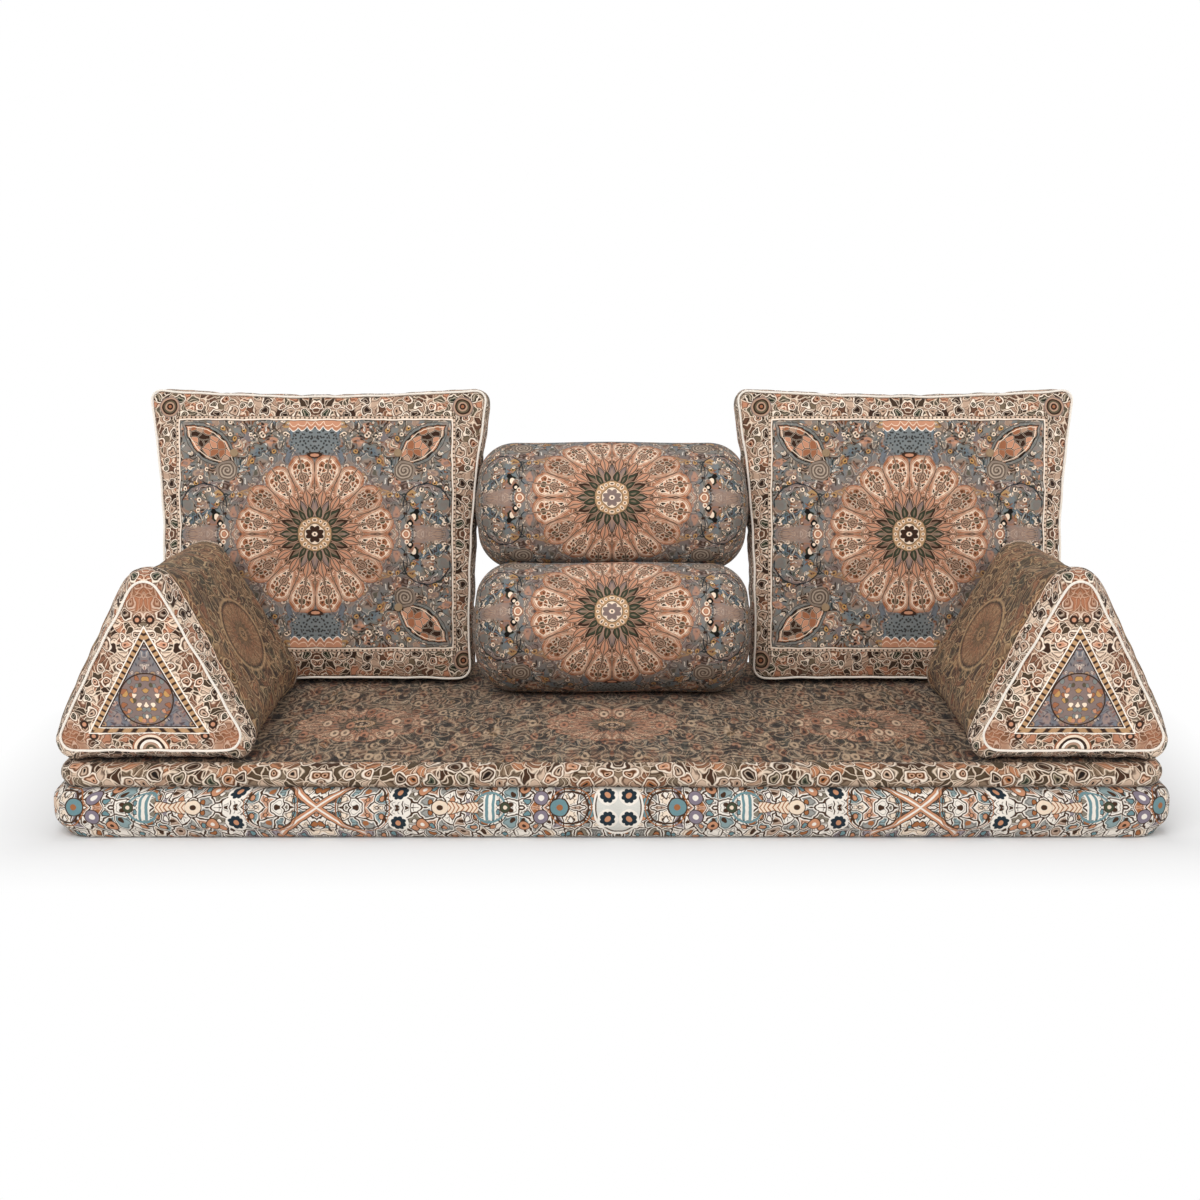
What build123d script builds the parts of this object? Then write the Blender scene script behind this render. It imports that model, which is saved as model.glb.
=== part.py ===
from build123d import *
import math
import os

# Floor sofa for a majlis room: a long box mattress on the floor, two back cushions that lean over its
# rear half, two bolsters stacked between them and two wedge armrests. Each one is stuffed and has its
# own sewn, zipped cover. X runs along the sofa, -Y is the front, Z is up, and the origin is on the
# floor under the middle of the mattress. Lengths are in millimetres, angles in degrees.

os.makedirs("parts", exist_ok=True)

# Cloth, clearances and cutting
FABRIC = 2.0
FILL_GAP = 0.4
REST_GAP = 0.3
CUT_OVERRUN = 40.0

# Piping cord, sewn outside the seams
PIPING_RADIUS = 4.0
PIPING_SEAT = 0.5
CUSHION_PIPING_TILT = 20.0
ARMREST_PIPING_TILT = 52.0

# Stuffed crowns: the powers of the cosine and sine that shape a section's reach and rise
CROWN_REACH_POWER = 0.8
CROWN_RISE_POWER = 1.25
SHOULDER_RISE_POWER = 1.6
CROWN_ANGLES = (0.0, 18.0, 36.0, 54.0, 72.0, 82.0)
SHOULDER_ANGLES = (0.0, 18.0, 36.0, 54.0, 72.0, 90.0)

# Mattress
MATTRESS_WIDTH = 1900.0
MATTRESS_DEPTH = 800.0
MATTRESS_HEIGHT = 130.0
MATTRESS_CORNER = 60.0
LIP_RADIUS = 22.0
LIP_SETBACK = 7.0
LIP_WRAP = 55.0
BOXING_CROWN_HEIGHT = 50.0
BOTTOM_SEAM_SETBACK = 10.0
BOTTOM_EDGE_RADIUS = 14.0
CORE_SETBACK = 22.0
CORE_EDGE_RADIUS = 18.0
MATTRESS_ZIP_LENGTH = 1500.0

# Bolsters
BOLSTER_LENGTH = 526.0
BOLSTER_DIAMETER = 250.0
BOLSTER_END_RADIUS = 75.0
BOLSTER_CAP_DEPTH = 18.0
BOLSTER_STAGGER = 121.0
BOLSTER_BACK_MARGIN = 19.0
BOLSTER_ZIP_LENGTH = 380.0

# Back cushions: the width and height are those of the seams halfway along each side
CUSHION_WIDTH = 597.0
CUSHION_HEIGHT = 536.0
CUSHION_GUSSET = 110.0
CUSHION_CORNER = 22.0
CUSHION_FRONT_CROWN = 28.0
CUSHION_BACK_CROWN = 12.0
CUSHION_BACK_FLAT_SHARE = 0.86
CUSHION_GUSSET_BULGE = 5.0
CUSHION_SETTLE = 9.0
CUSHION_LEAN = 9.2
CUSHION_TOP_INNER_FLARE = 21.0
CUSHION_TOP_OUTER_FLARE = 25.0
CUSHION_BOTTOM_OUTER_FLARE = 14.0
CUSHION_BOTTOM_INNER_PRESS = 2.0
CUSHION_TOP_SAG = 14.0
CUSHION_BOTTOM_SAG = 2.0
CUSHION_SIDE_GAP = 8.5
CUSHION_BACK_MARGIN = 22.0
CUSHION_ZIP_LENGTH = 420.0
CUSHION_ZIP_RISE = 150.0

# Tufts of the back cushions
TUFT_SPREAD = 160.0
TUFT_ABOVE = 160.0
TUFT_BELOW = 142.0
TUFT_DIMPLE_RADIUS = 60.0
TUFT_DIMPLE_DEPTH = 12.0
TUFT_BUTTON_RADIUS = 8.0
TUFT_BUTTON_THICKNESS = 4.0
TUFT_BUTTON_ROUND = 1.5
TUFT_BUTTON_LIFT = 0.8
TUFT_TWINE_RADIUS = 1.0
TUFT_TWINE_PLAY = 0.2
TUFT_KNOT_RADIUS = 4.0
TUFT_KNOT_THICKNESS = 1.6

# Armrests: the face is the seam triangle at each end, the body is the stuffed triangle between them
ARMREST_FACE_WIDTH = 298.0
ARMREST_FACE_HEIGHT = 286.0
ARMREST_FACE_LIFT = 28.0
ARMREST_FACE_CORNER = 22.0
ARMREST_FACE_BULGE = 3.0
ARMREST_BODY_WIDTH = 335.0
ARMREST_BODY_HEIGHT = 335.0
ARMREST_BODY_CORNER = 30.0
ARMREST_BODY_BULGE = 6.0
ARMREST_LENGTH = 539.0
ARMREST_SHOULDER = 45.0
ARMREST_DROOP = 35.0
ARMREST_FRONT_CROWN = 12.0
ARMREST_BACK_CROWN = 8.0
ARMREST_SIDE_MARGIN = 5.0
ARMREST_CUSHION_GAP = 8.0
ARMREST_ZIP_LENGTH = 320.0
ARMREST_ZIP_RISE = 55.0

# Zips: w is counted outwards from the face of the cover, v across the zip, u along it
ZIP_SINK = 5.0
ZIP_TAPE_WIDTH = 13.2
ZIP_TAPE_THICKNESS = 1.0
ZIP_RIM_THICKNESS = 1.0
ZIP_RIM_SETBACK = 1.3
ZIP_COIL_WIDTH = 2.2
ZIP_COIL_HEIGHT = 1.2
ZIP_SPLIT = 0.8
ZIP_PLAY = 0.2
ZIP_WINDOW_GAP = 0.3
ZIP_POCKET_DEPTH = 9.0
ZIP_END_GAP = 4.0
SLIDER_LENGTH = 12.0
SLIDER_PLATE = 0.8
SLIDER_FLANGE = 1.1
SLIDER_DIVIDER_LENGTH = 4.0
SLIDER_LUG_LENGTH = 2.8
SLIDER_LUG_WIDTH = 3.0
PULL_PIN_RADIUS = 0.6
PULL_PIN_PLAY = 0.05
PULL_PIN_RISE = 1.3
PULL_EYE_WALL = 1.2
PULL_ARM_WIDTH = 1.3
PULL_ARM_HEEL = 0.9
PULL_THICKNESS = 1.0
PULL_FORK_LENGTH = 4.0
PULL_LENGTH = 20.0
PULL_TAB_ROUND = 2.0

# Sizes that follow
PIPING_OFFSET = PIPING_RADIUS + PIPING_SEAT
COVER_AND_GAP = FABRIC + FILL_GAP
SEAT_HEIGHT = MATTRESS_HEIGHT + REST_GAP
PULL_PARK = PULL_LENGTH + ZIP_END_GAP
TAPE_TOP = -ZIP_SINK
COIL_TOP = TAPE_TOP + ZIP_COIL_HEIGHT
PLATE_TOP = COIL_TOP + ZIP_PLAY + SLIDER_PLATE
PIN_LEVEL = PLATE_TOP + PULL_PIN_RISE
UP = Vector(0, 0, 1)


def save(name, *shapes):
    """Writes one sub-part, of one or more solids, to its STEP file."""
    solids = [solid for shape in shapes for solid in shape.solids()]
    body = solids[0] if len(solids) == 1 else Compound(solids)
    export_step(body, f"parts/{name}.step")


def upright(y):
    """The plane across the sofa at depth y, with its own y axis pointing up."""
    return Plane(origin=(0, y, 0), x_dir=(1, 0, 0), z_dir=(0, -1, 0))


def block(u_low, u_high, v_low, v_high, w_low, w_high):
    """A box between two corners."""
    size = (u_high - u_low, v_high - v_low, w_high - w_low)
    middle = ((u_high + u_low) / 2, (v_high + v_low) / 2, (w_high + w_low) / 2)
    return Pos(*middle) * Box(*size)


def polar(centre, radius, angle):
    """The point at a radius and angle from a centre, in the plane of the centre."""
    turn = math.radians(angle)
    return centre[0] + radius * math.cos(turn), centre[1] + radius * math.sin(turn)


def arc_round(centre, radius, start, end):
    """An arc about a centre, from one angle to another."""
    middle = (start + end) / 2
    return ThreePointArc(*(polar(centre, radius, angle) for angle in (start, middle, end)))


def closed(*curves):
    """The face inside curves that meet end to end."""
    return make_face([edge for curve in curves for edge in curve.edges()])


def crown_point(angle, rise_power):
    """One section of a stuffed crown: its share of the way out from the middle, and of the height."""
    turn = math.radians(angle)
    return max(math.cos(turn), 0) ** CROWN_REACH_POWER, math.sin(turn) ** rise_power


def piping_seat(tilt):
    """How far the piping's middle lies outside its seam, and in front of it."""
    turn = math.radians(tilt)
    return PIPING_OFFSET * math.cos(turn), PIPING_OFFSET * math.sin(turn)


def tube_round(outline):
    """A piping cord whose centre line is the edge of a face."""
    path = outline.faces()[0].outer_wire()
    section = Plane(origin=path @ 0, z_dir=path % 0) * Circle(PIPING_RADIUS)
    return sweep(section, path=path)


# Zips. Each is made about its own middle, then placed by a plane on the cover: x along, z outwards.

def zip_pocket(length):
    """What is cut from the cover and the filling to let the zip in."""
    half_u = length / 2 + ZIP_WINDOW_GAP
    half_v = ZIP_SPLIT + ZIP_TAPE_WIDTH + ZIP_WINDOW_GAP
    return block(-half_u, half_u, -half_v, half_v, -ZIP_POCKET_DEPTH, CUT_OVERRUN)


def zip_tape(length):
    """Two tapes, each with its row of coils and its edge turned up to the cover."""
    edge = ZIP_SPLIT + ZIP_TAPE_WIDTH
    half = length / 2
    tape = block(-half, half, ZIP_SPLIT, edge, TAPE_TOP - ZIP_TAPE_THICKNESS, TAPE_TOP)
    tape += block(-half, half, edge - ZIP_RIM_THICKNESS, edge, TAPE_TOP, -ZIP_RIM_SETBACK)
    coil_end = half - ZIP_END_GAP / 2
    tape += block(-coil_end, coil_end, ZIP_SPLIT, ZIP_SPLIT + ZIP_COIL_WIDTH, TAPE_TOP, COIL_TOP)
    return [tape, mirror(tape, about=Plane.XZ)]


def zip_slider(length):
    """The slider: two plates and side flanges about the coils, a divider and the lug for the pull."""
    coil_edge = ZIP_SPLIT + ZIP_COIL_WIDTH
    half_v = coil_edge + ZIP_PLAY + SLIDER_FLANGE
    half_u = SLIDER_LENGTH / 2
    plate_low = COIL_TOP + ZIP_PLAY
    bottom_high = TAPE_TOP - ZIP_TAPE_THICKNESS - ZIP_PLAY
    bottom_low = bottom_high - SLIDER_PLATE
    slider = block(-half_u, half_u, -half_v, half_v, plate_low, PLATE_TOP)
    slider += block(-half_u, half_u, -half_v, half_v, bottom_low, bottom_high)
    half_divider = ZIP_SPLIT - ZIP_PLAY
    slider += block(-SLIDER_DIVIDER_LENGTH / 2, SLIDER_DIVIDER_LENGTH / 2, -half_divider, half_divider,
                    bottom_low, PLATE_TOP)
    for side in (-1, 1):
        inner, outer = sorted((side * (half_v - SLIDER_FLANGE), side * half_v))
        slider += block(-half_u, half_u, inner, outer, TAPE_TOP + ZIP_PLAY, plate_low)
    slider += block(-SLIDER_LUG_LENGTH / 2, SLIDER_LUG_LENGTH / 2, -SLIDER_LUG_WIDTH / 2,
                    SLIDER_LUG_WIDTH / 2, PLATE_TOP, PIN_LEVEL + PULL_EYE_WALL)
    bore = Cylinder(PULL_PIN_RADIUS + PULL_PIN_PLAY, SLIDER_LUG_WIDTH + CUT_OVERRUN)
    slider -= Pos(0, 0, PIN_LEVEL) * Rot(X=90) * bore
    return Pos(PULL_PARK - length / 2, 0, 0) * slider


def zip_pull(length):
    """The pull: a tab on a fork whose pin turns in the slider's lug."""
    arm_inner = SLIDER_LUG_WIDTH / 2 + ZIP_PLAY
    arm_outer = arm_inner + PULL_ARM_WIDTH
    half_w = PULL_THICKNESS / 2
    tab = extrude(RectangleRounded(PULL_LENGTH - PULL_FORK_LENGTH, 2 * arm_outer, PULL_TAB_ROUND),
                  PULL_THICKNESS)
    pull = Pos((PULL_LENGTH + PULL_FORK_LENGTH) / 2, 0, -half_w) * tab
    for side in (-1, 1):
        inner, outer = sorted((side * arm_inner, side * arm_outer))
        pull += block(-PULL_ARM_HEEL, PULL_FORK_LENGTH + PULL_TAB_ROUND, inner, outer, -half_w, half_w)
    pull += Rot(X=90) * Cylinder(PULL_PIN_RADIUS, 2 * arm_outer)
    return Pos(PULL_PARK - length / 2, 0, PIN_LEVEL) * pull


def save_zip(name, length, place):
    """Writes a zip's three sub-parts where a function places them, and prints how it moves."""
    save(f"{name}_zip_tape", *(place(half) for half in zip_tape(length)))
    save(f"{name}_zip_slider", place(zip_slider(length)))
    save(f"{name}_zip_pull", place(zip_pull(length)))
    along, outward = (place(Edge.make_line((0, 0, 0), end)) % 0 for end in ((1, 0, 0), (0, 0, 1)))
    pin = place(Edge.make_line((0, 0, 0), (PULL_PARK - length / 2, 0, PIN_LEVEL))) @ 1
    print("zip", name, length - 2 * PULL_PARK, *pin, *along, *outward)


# Mattress: profiles are drawn in (outwards from the outline, up) and carried round it.

def mattress_ring(profile):
    """Carries a profile round the mattress outline."""
    path = RectangleRounded(MATTRESS_WIDTH, MATTRESS_DEPTH, MATTRESS_CORNER).faces()[0].outer_wire()
    start = path @ 0
    outward = (path % 0).cross(UP)
    if outward.dot(start) < 0:
        outward = outward * -1
    plane = Plane(origin=start, x_dir=outward, z_dir=outward.cross(UP))
    return sweep(plane * profile, path=path)


def mattress_plate(setback, radius_loss, low, high):
    """A flat plate of the mattress outline, set back from it."""
    size = (MATTRESS_WIDTH - 2 * setback, MATTRESS_DEPTH - 2 * setback)
    return Pos(0, 0, low) * extrude(RectangleRounded(*size, MATTRESS_CORNER - radius_loss), high - low)


def make_mattress():
    lip_centre = (-LIP_SETBACK - LIP_RADIUS, MATTRESS_HEIGHT - LIP_RADIUS)
    edge_centre = (-BOTTOM_SEAM_SETBACK - BOTTOM_EDGE_RADIUS, BOTTOM_EDGE_RADIUS)
    lip_inner = LIP_RADIUS - FABRIC
    edge_inner = BOTTOM_EDGE_RADIUS - FABRIC

    lip_outer_arc = arc_round(lip_centre, LIP_RADIUS, -LIP_WRAP, 90)
    lip_inner_arc = arc_round(lip_centre, lip_inner, -LIP_WRAP, 90)
    lip = closed(lip_outer_arc, lip_inner_arc, Line(lip_outer_arc @ 0, lip_inner_arc @ 0),
                 Line(lip_outer_arc @ 1, lip_inner_arc @ 1))
    edge_outer_arc = arc_round(edge_centre, BOTTOM_EDGE_RADIUS, 0, -90)
    edge_inner_arc = arc_round(edge_centre, edge_inner, 0, -90)
    edge = closed(edge_outer_arc, edge_inner_arc, Line(edge_outer_arc @ 0, edge_inner_arc @ 0),
                  Line(edge_outer_arc @ 1, edge_inner_arc @ 1))
    boxing_outer_arc = ThreePointArc(lip_outer_arc @ 0, (0, BOXING_CROWN_HEIGHT), edge_outer_arc @ 0)
    boxing_inner_arc = ThreePointArc(lip_inner_arc @ 0, (-FABRIC, BOXING_CROWN_HEIGHT),
                                     edge_inner_arc @ 0)
    boxing = closed(boxing_outer_arc, boxing_inner_arc, Line(boxing_outer_arc @ 0, boxing_inner_arc @ 0),
                    Line(boxing_outer_arc @ 1, boxing_inner_arc @ 1))

    top_setback = LIP_SETBACK + LIP_RADIUS
    bottom_setback = BOTTOM_SEAM_SETBACK + BOTTOM_EDGE_RADIUS
    top_plate = mattress_plate(top_setback, top_setback, MATTRESS_HEIGHT - FABRIC, MATTRESS_HEIGHT)
    bottom_plate = mattress_plate(bottom_setback, bottom_setback, 0, FABRIC)
    save("mattress_top_panel", mattress_ring(lip) + top_plate)
    save("mattress_bottom_panel", mattress_ring(edge) + bottom_plate)

    rear = Plane(origin=(0, MATTRESS_DEPTH / 2, BOXING_CROWN_HEIGHT), x_dir=(1, 0, 0), z_dir=(0, 1, 0))
    save("mattress_boxing", mattress_ring(boxing) - rear * zip_pocket(MATTRESS_ZIP_LENGTH))
    core = mattress_plate(CORE_SETBACK, CORE_SETBACK, COVER_AND_GAP, MATTRESS_HEIGHT - COVER_AND_GAP)
    level_edges = core.edges().filter_by(lambda edge: abs((edge @ 0).Z - (edge @ 1).Z) < FILL_GAP)
    save("mattress_foam_core", fillet(level_edges, CORE_EDGE_RADIUS))
    save_zip("mattress", MATTRESS_ZIP_LENGTH, lambda shape: rear * shape)


# Bolsters: turned about the X axis, with large soft ends.

def bolster_solid(inset):
    """A round bolster about the X axis, drawn in by an inset."""
    half = BOLSTER_LENGTH / 2 - inset
    radius = BOLSTER_DIAMETER / 2 - inset
    end = BOLSTER_END_RADIUS - inset
    sections = []
    for side in (1, -1):
        centre = (side * (half - end), radius - end)
        sections.append(arc_round(centre, end, 90 - side * 90, 90))
    profile = closed(sections[0], sections[1], Line(sections[0] @ 1, sections[1] @ 1),
                     Line(sections[0] @ 0, (half, 0)), Line((half, 0), (-half, 0)),
                     Line((-half, 0), sections[1] @ 0))
    return revolve(profile, axis=Axis.X)


def make_bolster(name, place):
    rear = Plane(origin=(0, BOLSTER_DIAMETER / 2, 0), x_dir=(1, 0, 0), z_dir=(0, 1, 0))
    pocket = rear * zip_pocket(BOLSTER_ZIP_LENGTH)
    cover = bolster_solid(0) - bolster_solid(FABRIC)
    seam = BOLSTER_LENGTH / 2 - BOLSTER_CAP_DEPTH
    reach = BOLSTER_DIAMETER
    sleeve = block(-seam, seam, -reach, reach, -reach, reach)
    save(f"{name}_wrap", place * ((cover & sleeve) - pocket))
    save(f"{name}_end_caps", place * (cover - sleeve))
    save(f"{name}_filling", place * (bolster_solid(COVER_AND_GAP) - pocket))
    save_zip(name, BOLSTER_ZIP_LENGTH, lambda shape: place * (rear * shape))


def make_bolsters():
    radius = BOLSTER_DIAMETER / 2
    pitch = BOLSTER_DIAMETER + REST_GAP
    upper_y = MATTRESS_DEPTH / 2 - BOLSTER_BACK_MARGIN - radius
    lower_z = SEAT_HEIGHT + radius
    upper_z = lower_z + math.sqrt(pitch ** 2 - BOLSTER_STAGGER ** 2)
    make_bolster("bolster_lower", Pos(0, upper_y - BOLSTER_STAGGER, lower_z))
    make_bolster("bolster_upper", Pos(0, upper_y, upper_z))


# Back cushions: X across, Z up from the middle of the rear bottom seam, Y backwards from the middle
# of the gusset. The right one is made, with the bolsters on its -X side, and the left one mirrors it.

def cushion_outline(y, scale=1.0, inset=0.0, settle_share=0.0):
    """The cushion's outline at one depth: four drawn-in sides between rounded, flared corners."""
    half = CUSHION_WIDTH / 2 - inset
    low = inset - CUSHION_SETTLE * settle_share
    high = CUSHION_HEIGHT - inset
    corners = [(-half + CUSHION_BOTTOM_INNER_PRESS, low - CUSHION_BOTTOM_SAG),
               (half + CUSHION_BOTTOM_OUTER_FLARE, low - CUSHION_BOTTOM_SAG),
               (half + CUSHION_TOP_OUTER_FLARE, high + CUSHION_TOP_SAG),
               (-half - CUSHION_TOP_INNER_FLARE, high + CUSHION_TOP_SAG)]
    middle = CUSHION_HEIGHT / 2
    sides = [(0, low), (half, middle), (0, high), (-half, middle)]

    def shrunk(point):
        return point[0] * scale, middle + (point[1] - middle) * scale

    corners = [shrunk(point) for point in corners]
    sides = [shrunk(point) for point in sides]
    arcs = [ThreePointArc(corners[k], sides[k], corners[(k + 1) % 4]) for k in range(4)]
    face = closed(*arcs)
    return upright(y) * fillet(face.vertices(), (CUSHION_CORNER - inset) * scale)


def cushion_front(inset):
    """The crowned front, between the front seam and the middle of the panel."""
    depth = CUSHION_FRONT_CROWN - inset
    faces = []
    for angle in CROWN_ANGLES:
        reach, rise = crown_point(angle, CROWN_RISE_POWER)
        faces.append(cushion_outline(-CUSHION_GUSSET / 2 - depth * rise, reach, inset, 1.0))
    return loft(faces)


def cushion_back(inset):
    """The back, rounded near its seam and flat where it leans on a wall."""
    depth = CUSHION_BACK_CROWN - inset
    faces = []
    for angle in (0, 30, 60, 90):
        rise = depth * math.sin(math.radians(angle))
        scale = 1 - (1 - CUSHION_BACK_FLAT_SHARE) * (1 - math.cos(math.radians(angle)))
        faces.append(cushion_outline(CUSHION_GUSSET / 2 + rise, scale, inset))
    return loft(faces)


def cushion_middle(inset):
    """The gusset's space, which swells between the two seams."""
    faces = []
    for share in (-1.0, -0.5, 0.0, 0.5, 1.0):
        swell = CUSHION_GUSSET_BULGE * (1 - share ** 2)
        faces.append(cushion_outline(share * CUSHION_GUSSET / 2, 1.0, inset - swell, (1 - share) / 2))
    return loft(faces)


def crown_rise(x, z):
    """How far the front stands out of its seam plane at one point of the panel."""
    middle = CUSHION_HEIGHT / 2
    across = abs(x) / (CUSHION_WIDTH / 2)
    up = abs(z - middle) / middle
    turn = math.acos(max(across, up) ** (1 / CROWN_REACH_POWER))
    return CUSHION_FRONT_CROWN * math.sin(turn) ** CROWN_RISE_POWER


def tuft_places():
    """Each tuft's x, z and the y of the bottom of its dimple."""
    places = []
    for x in (-TUFT_SPREAD, TUFT_SPREAD):
        for z in (CUSHION_HEIGHT / 2 + TUFT_ABOVE, CUSHION_HEIGHT / 2 - TUFT_BELOW):
            y = -CUSHION_GUSSET / 2 - crown_rise(x, z) + TUFT_DIMPLE_DEPTH
            places.append((x, z, y))
    return places


def tuft_dimples(growth):
    """The round hollows that the tufts draw into the front, grown by a cloth's thickness."""
    balls = []
    for x, z, y in tuft_places():
        balls.append(Pos(x, y - TUFT_DIMPLE_RADIUS, z) * Sphere(TUFT_DIMPLE_RADIUS + growth))
    return balls


def tuft_rod(place, radius, back):
    """A straight rod from a tuft's button to a depth behind it."""
    x, z, y = place
    front = y - TUFT_BUTTON_LIFT
    rod = Cylinder(radius, back - front)
    return Pos(x, (front + back) / 2, z) * Rot(X=90) * rod


def make_cushion(side, place):
    front = cushion_front(0)
    for ball in tuft_dimples(0):
        front -= ball
    cavity = cushion_middle(FABRIC) + cushion_front(FABRIC) + cushion_back(FABRIC)
    for ball in tuft_dimples(FABRIC):
        cavity -= ball
    filling = cushion_middle(COVER_AND_GAP) + cushion_front(COVER_AND_GAP) + cushion_back(COVER_AND_GAP)
    for ball in tuft_dimples(COVER_AND_GAP):
        filling -= ball

    back_y = CUSHION_GUSSET / 2 + CUSHION_BACK_CROWN
    panel = Plane(origin=(0, back_y, CUSHION_ZIP_RISE), x_dir=(1, 0, 0), z_dir=(0, 1, 0))
    pocket = panel * zip_pocket(CUSHION_ZIP_LENGTH)
    front_panel = front - cavity
    back_panel = cushion_back(0) - cavity - pocket
    filling -= pocket
    buttons = []
    twines = []
    for spot in tuft_places():
        x, z, y = spot
        bore = tuft_rod(spot, TUFT_TWINE_RADIUS + TUFT_TWINE_PLAY, back_y + CUT_OVERRUN)
        front_panel -= bore
        back_panel -= bore
        filling -= bore
        knot = Pos(x, back_y + TUFT_KNOT_THICKNESS / 2 + ZIP_PLAY, z) * Rot(X=90)
        knot = knot * Cylinder(TUFT_KNOT_RADIUS, TUFT_KNOT_THICKNESS)
        twines.append(tuft_rod(spot, TUFT_TWINE_RADIUS, back_y + ZIP_PLAY) + knot)
        button = Cylinder(TUFT_BUTTON_RADIUS, TUFT_BUTTON_THICKNESS)
        button = fillet(button.edges().filter_by(GeomType.CIRCLE), TUFT_BUTTON_ROUND)
        buttons.append(Pos(x, y - TUFT_BUTTON_LIFT - TUFT_BUTTON_THICKNESS / 2, z) * Rot(X=90) * button)

    name = f"back_cushion_{side}"
    save(f"{name}_front_panel", place(front_panel))
    save(f"{name}_gusset", place(cushion_middle(0) - cavity))
    save(f"{name}_back_panel", place(back_panel))
    out, ahead = piping_seat(CUSHION_PIPING_TILT)
    rims = [cushion_outline(-CUSHION_GUSSET / 2 - ahead, 1.0, -out, 1.0),
            cushion_outline(CUSHION_GUSSET / 2 + ahead, 1.0, -out)]
    save(f"{name}_piping", *(place(tube_round(rim)) for rim in rims))
    save(f"{name}_filling", place(filling))
    save(f"{name}_tuft_buttons", *(place(button) for button in buttons))
    save(f"{name}_tuft_twine", *(place(twine) for twine in twines))
    save_zip(name, CUSHION_ZIP_LENGTH, lambda shape: place(panel * shape))


def cushion_seat():
    """Where the cushion's own origin goes: its lowest piping on the seat, its top near the rear edge."""
    lean = math.radians(CUSHION_LEAN)
    out, ahead = piping_seat(CUSHION_PIPING_TILT)
    half = CUSHION_GUSSET / 2 + ahead
    drop = CUSHION_BOTTOM_SAG + out
    rear_low = -half * math.sin(lean) - drop * math.cos(lean)
    front_low = half * math.sin(lean) - (drop + CUSHION_SETTLE) * math.cos(lean)
    top = CUSHION_HEIGHT + CUSHION_TOP_SAG + out
    rear_reach = half * math.cos(lean) + top * math.sin(lean) + PIPING_RADIUS
    x = BOLSTER_LENGTH / 2 + CUSHION_SIDE_GAP + out + PIPING_RADIUS + CUSHION_WIDTH / 2
    y = MATTRESS_DEPTH / 2 - CUSHION_BACK_MARGIN - rear_reach
    z = SEAT_HEIGHT + PIPING_RADIUS - min(rear_low, front_low)
    return x, y, z


def make_cushions():
    seat = Pos(*cushion_seat()) * Rot(X=-CUSHION_LEAN)
    make_cushion("right", lambda shape: seat * shape)
    make_cushion("left", lambda shape: mirror(seat * shape, about=Plane.YZ))


# Armrests: X across, Y backwards from the front seam, Z up from the seat. A rounded triangle is an
# inner triangle grown by a radius, so a smaller radius is the same triangle drawn in. The right one
# is made, with its outer side at +X, and the left one mirrors it.

def armrest_triangle(growth, droop_share):
    """Inner half width, inner height, base height, corner radius and bulge, from face to body."""
    face = (ARMREST_FACE_WIDTH, ARMREST_FACE_HEIGHT, ARMREST_FACE_LIFT, ARMREST_FACE_CORNER,
            ARMREST_FACE_BULGE)
    body = (ARMREST_BODY_WIDTH, ARMREST_BODY_HEIGHT, 0.0, ARMREST_BODY_CORNER, ARMREST_BODY_BULGE)
    width, height, lift, radius, bulge = (a + (b - a) * growth for a, b in zip(face, body))
    height -= ARMREST_DROOP * droop_share
    return width / 2 - radius, height - 2 * radius, lift + radius, radius, bulge


def armrest_outline(y, growth, droop_share, inset=0.0, scale=1.0):
    """The armrest's outline at one depth: a triangle with bulging sides and rounded corners."""
    half, height, base, radius, bulge = armrest_triangle(growth, droop_share)
    centre = base + height / 3
    half, height, radius, bulge = (size * scale for size in (half, height, radius, bulge))
    base = centre - height / 3
    radius -= inset
    lean = math.atan2(half, height)
    foot = half + radius / math.tan((math.pi / 2 - lean) / 2)
    low, apex = base - radius, base + height + radius / math.sin(lean)
    out = bulge + radius
    side = (half / 2 + out * math.cos(lean), base + height / 2 + out * math.sin(lean))
    face = closed(Line((-foot, low), (foot, low)), ThreePointArc((foot, low), side, (0, apex)),
                  ThreePointArc((0, apex), (-side[0], side[1]), (-foot, low)))
    return upright(y) * fillet(face.vertices(), radius)


def armrest_body(inset):
    """The stuffed prism: a rounded shoulder behind each end seam and straight sides between."""
    front, rear = [], []
    for angle in SHOULDER_ANGLES:
        left, growth = crown_point(angle, SHOULDER_RISE_POWER)
        y = ARMREST_SHOULDER * (1 - left)
        front.append(armrest_outline(y, growth, 0.0, inset))
        rear.append(armrest_outline(ARMREST_LENGTH - y, growth, 1.0, inset))
    return loft([front[-1], rear[-1]], ruled=True) + loft(front) + loft(rear)


def armrest_end(start, crown, direction, droop_share, inset):
    """One crowned end panel, from its seam outwards."""
    depth = crown - inset
    faces = []
    for angle in CROWN_ANGLES:
        reach, rise = crown_point(angle, CROWN_RISE_POWER)
        y = start + direction * depth * rise
        faces.append(armrest_outline(y, 0.0, droop_share, inset * reach, reach))
    return loft(faces)


def armrest_ends(inset):
    """The two end panels' solids, front and rear."""
    return (armrest_end(0.0, ARMREST_FRONT_CROWN, -1, 0.0, inset),
            armrest_end(ARMREST_LENGTH, ARMREST_BACK_CROWN, 1, 1.0, inset))


def armrest_side_plane():
    """The plane of the zip, low on the outer side, halfway along."""
    half, height, base, radius, bulge = armrest_triangle(1.0, 0.5)
    lean = math.atan2(half, height)
    run = math.hypot(half, height)
    share = ARMREST_ZIP_RISE / run
    out = radius + bulge * (1 - (2 * share - 1) ** 2)
    normal = (math.cos(lean), 0, math.sin(lean))
    origin = (half * (1 - share) + out * normal[0], ARMREST_LENGTH / 2, base + height * share
              + out * normal[2])
    return Plane(origin=origin, x_dir=(0, 1, 0), z_dir=normal)


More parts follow.
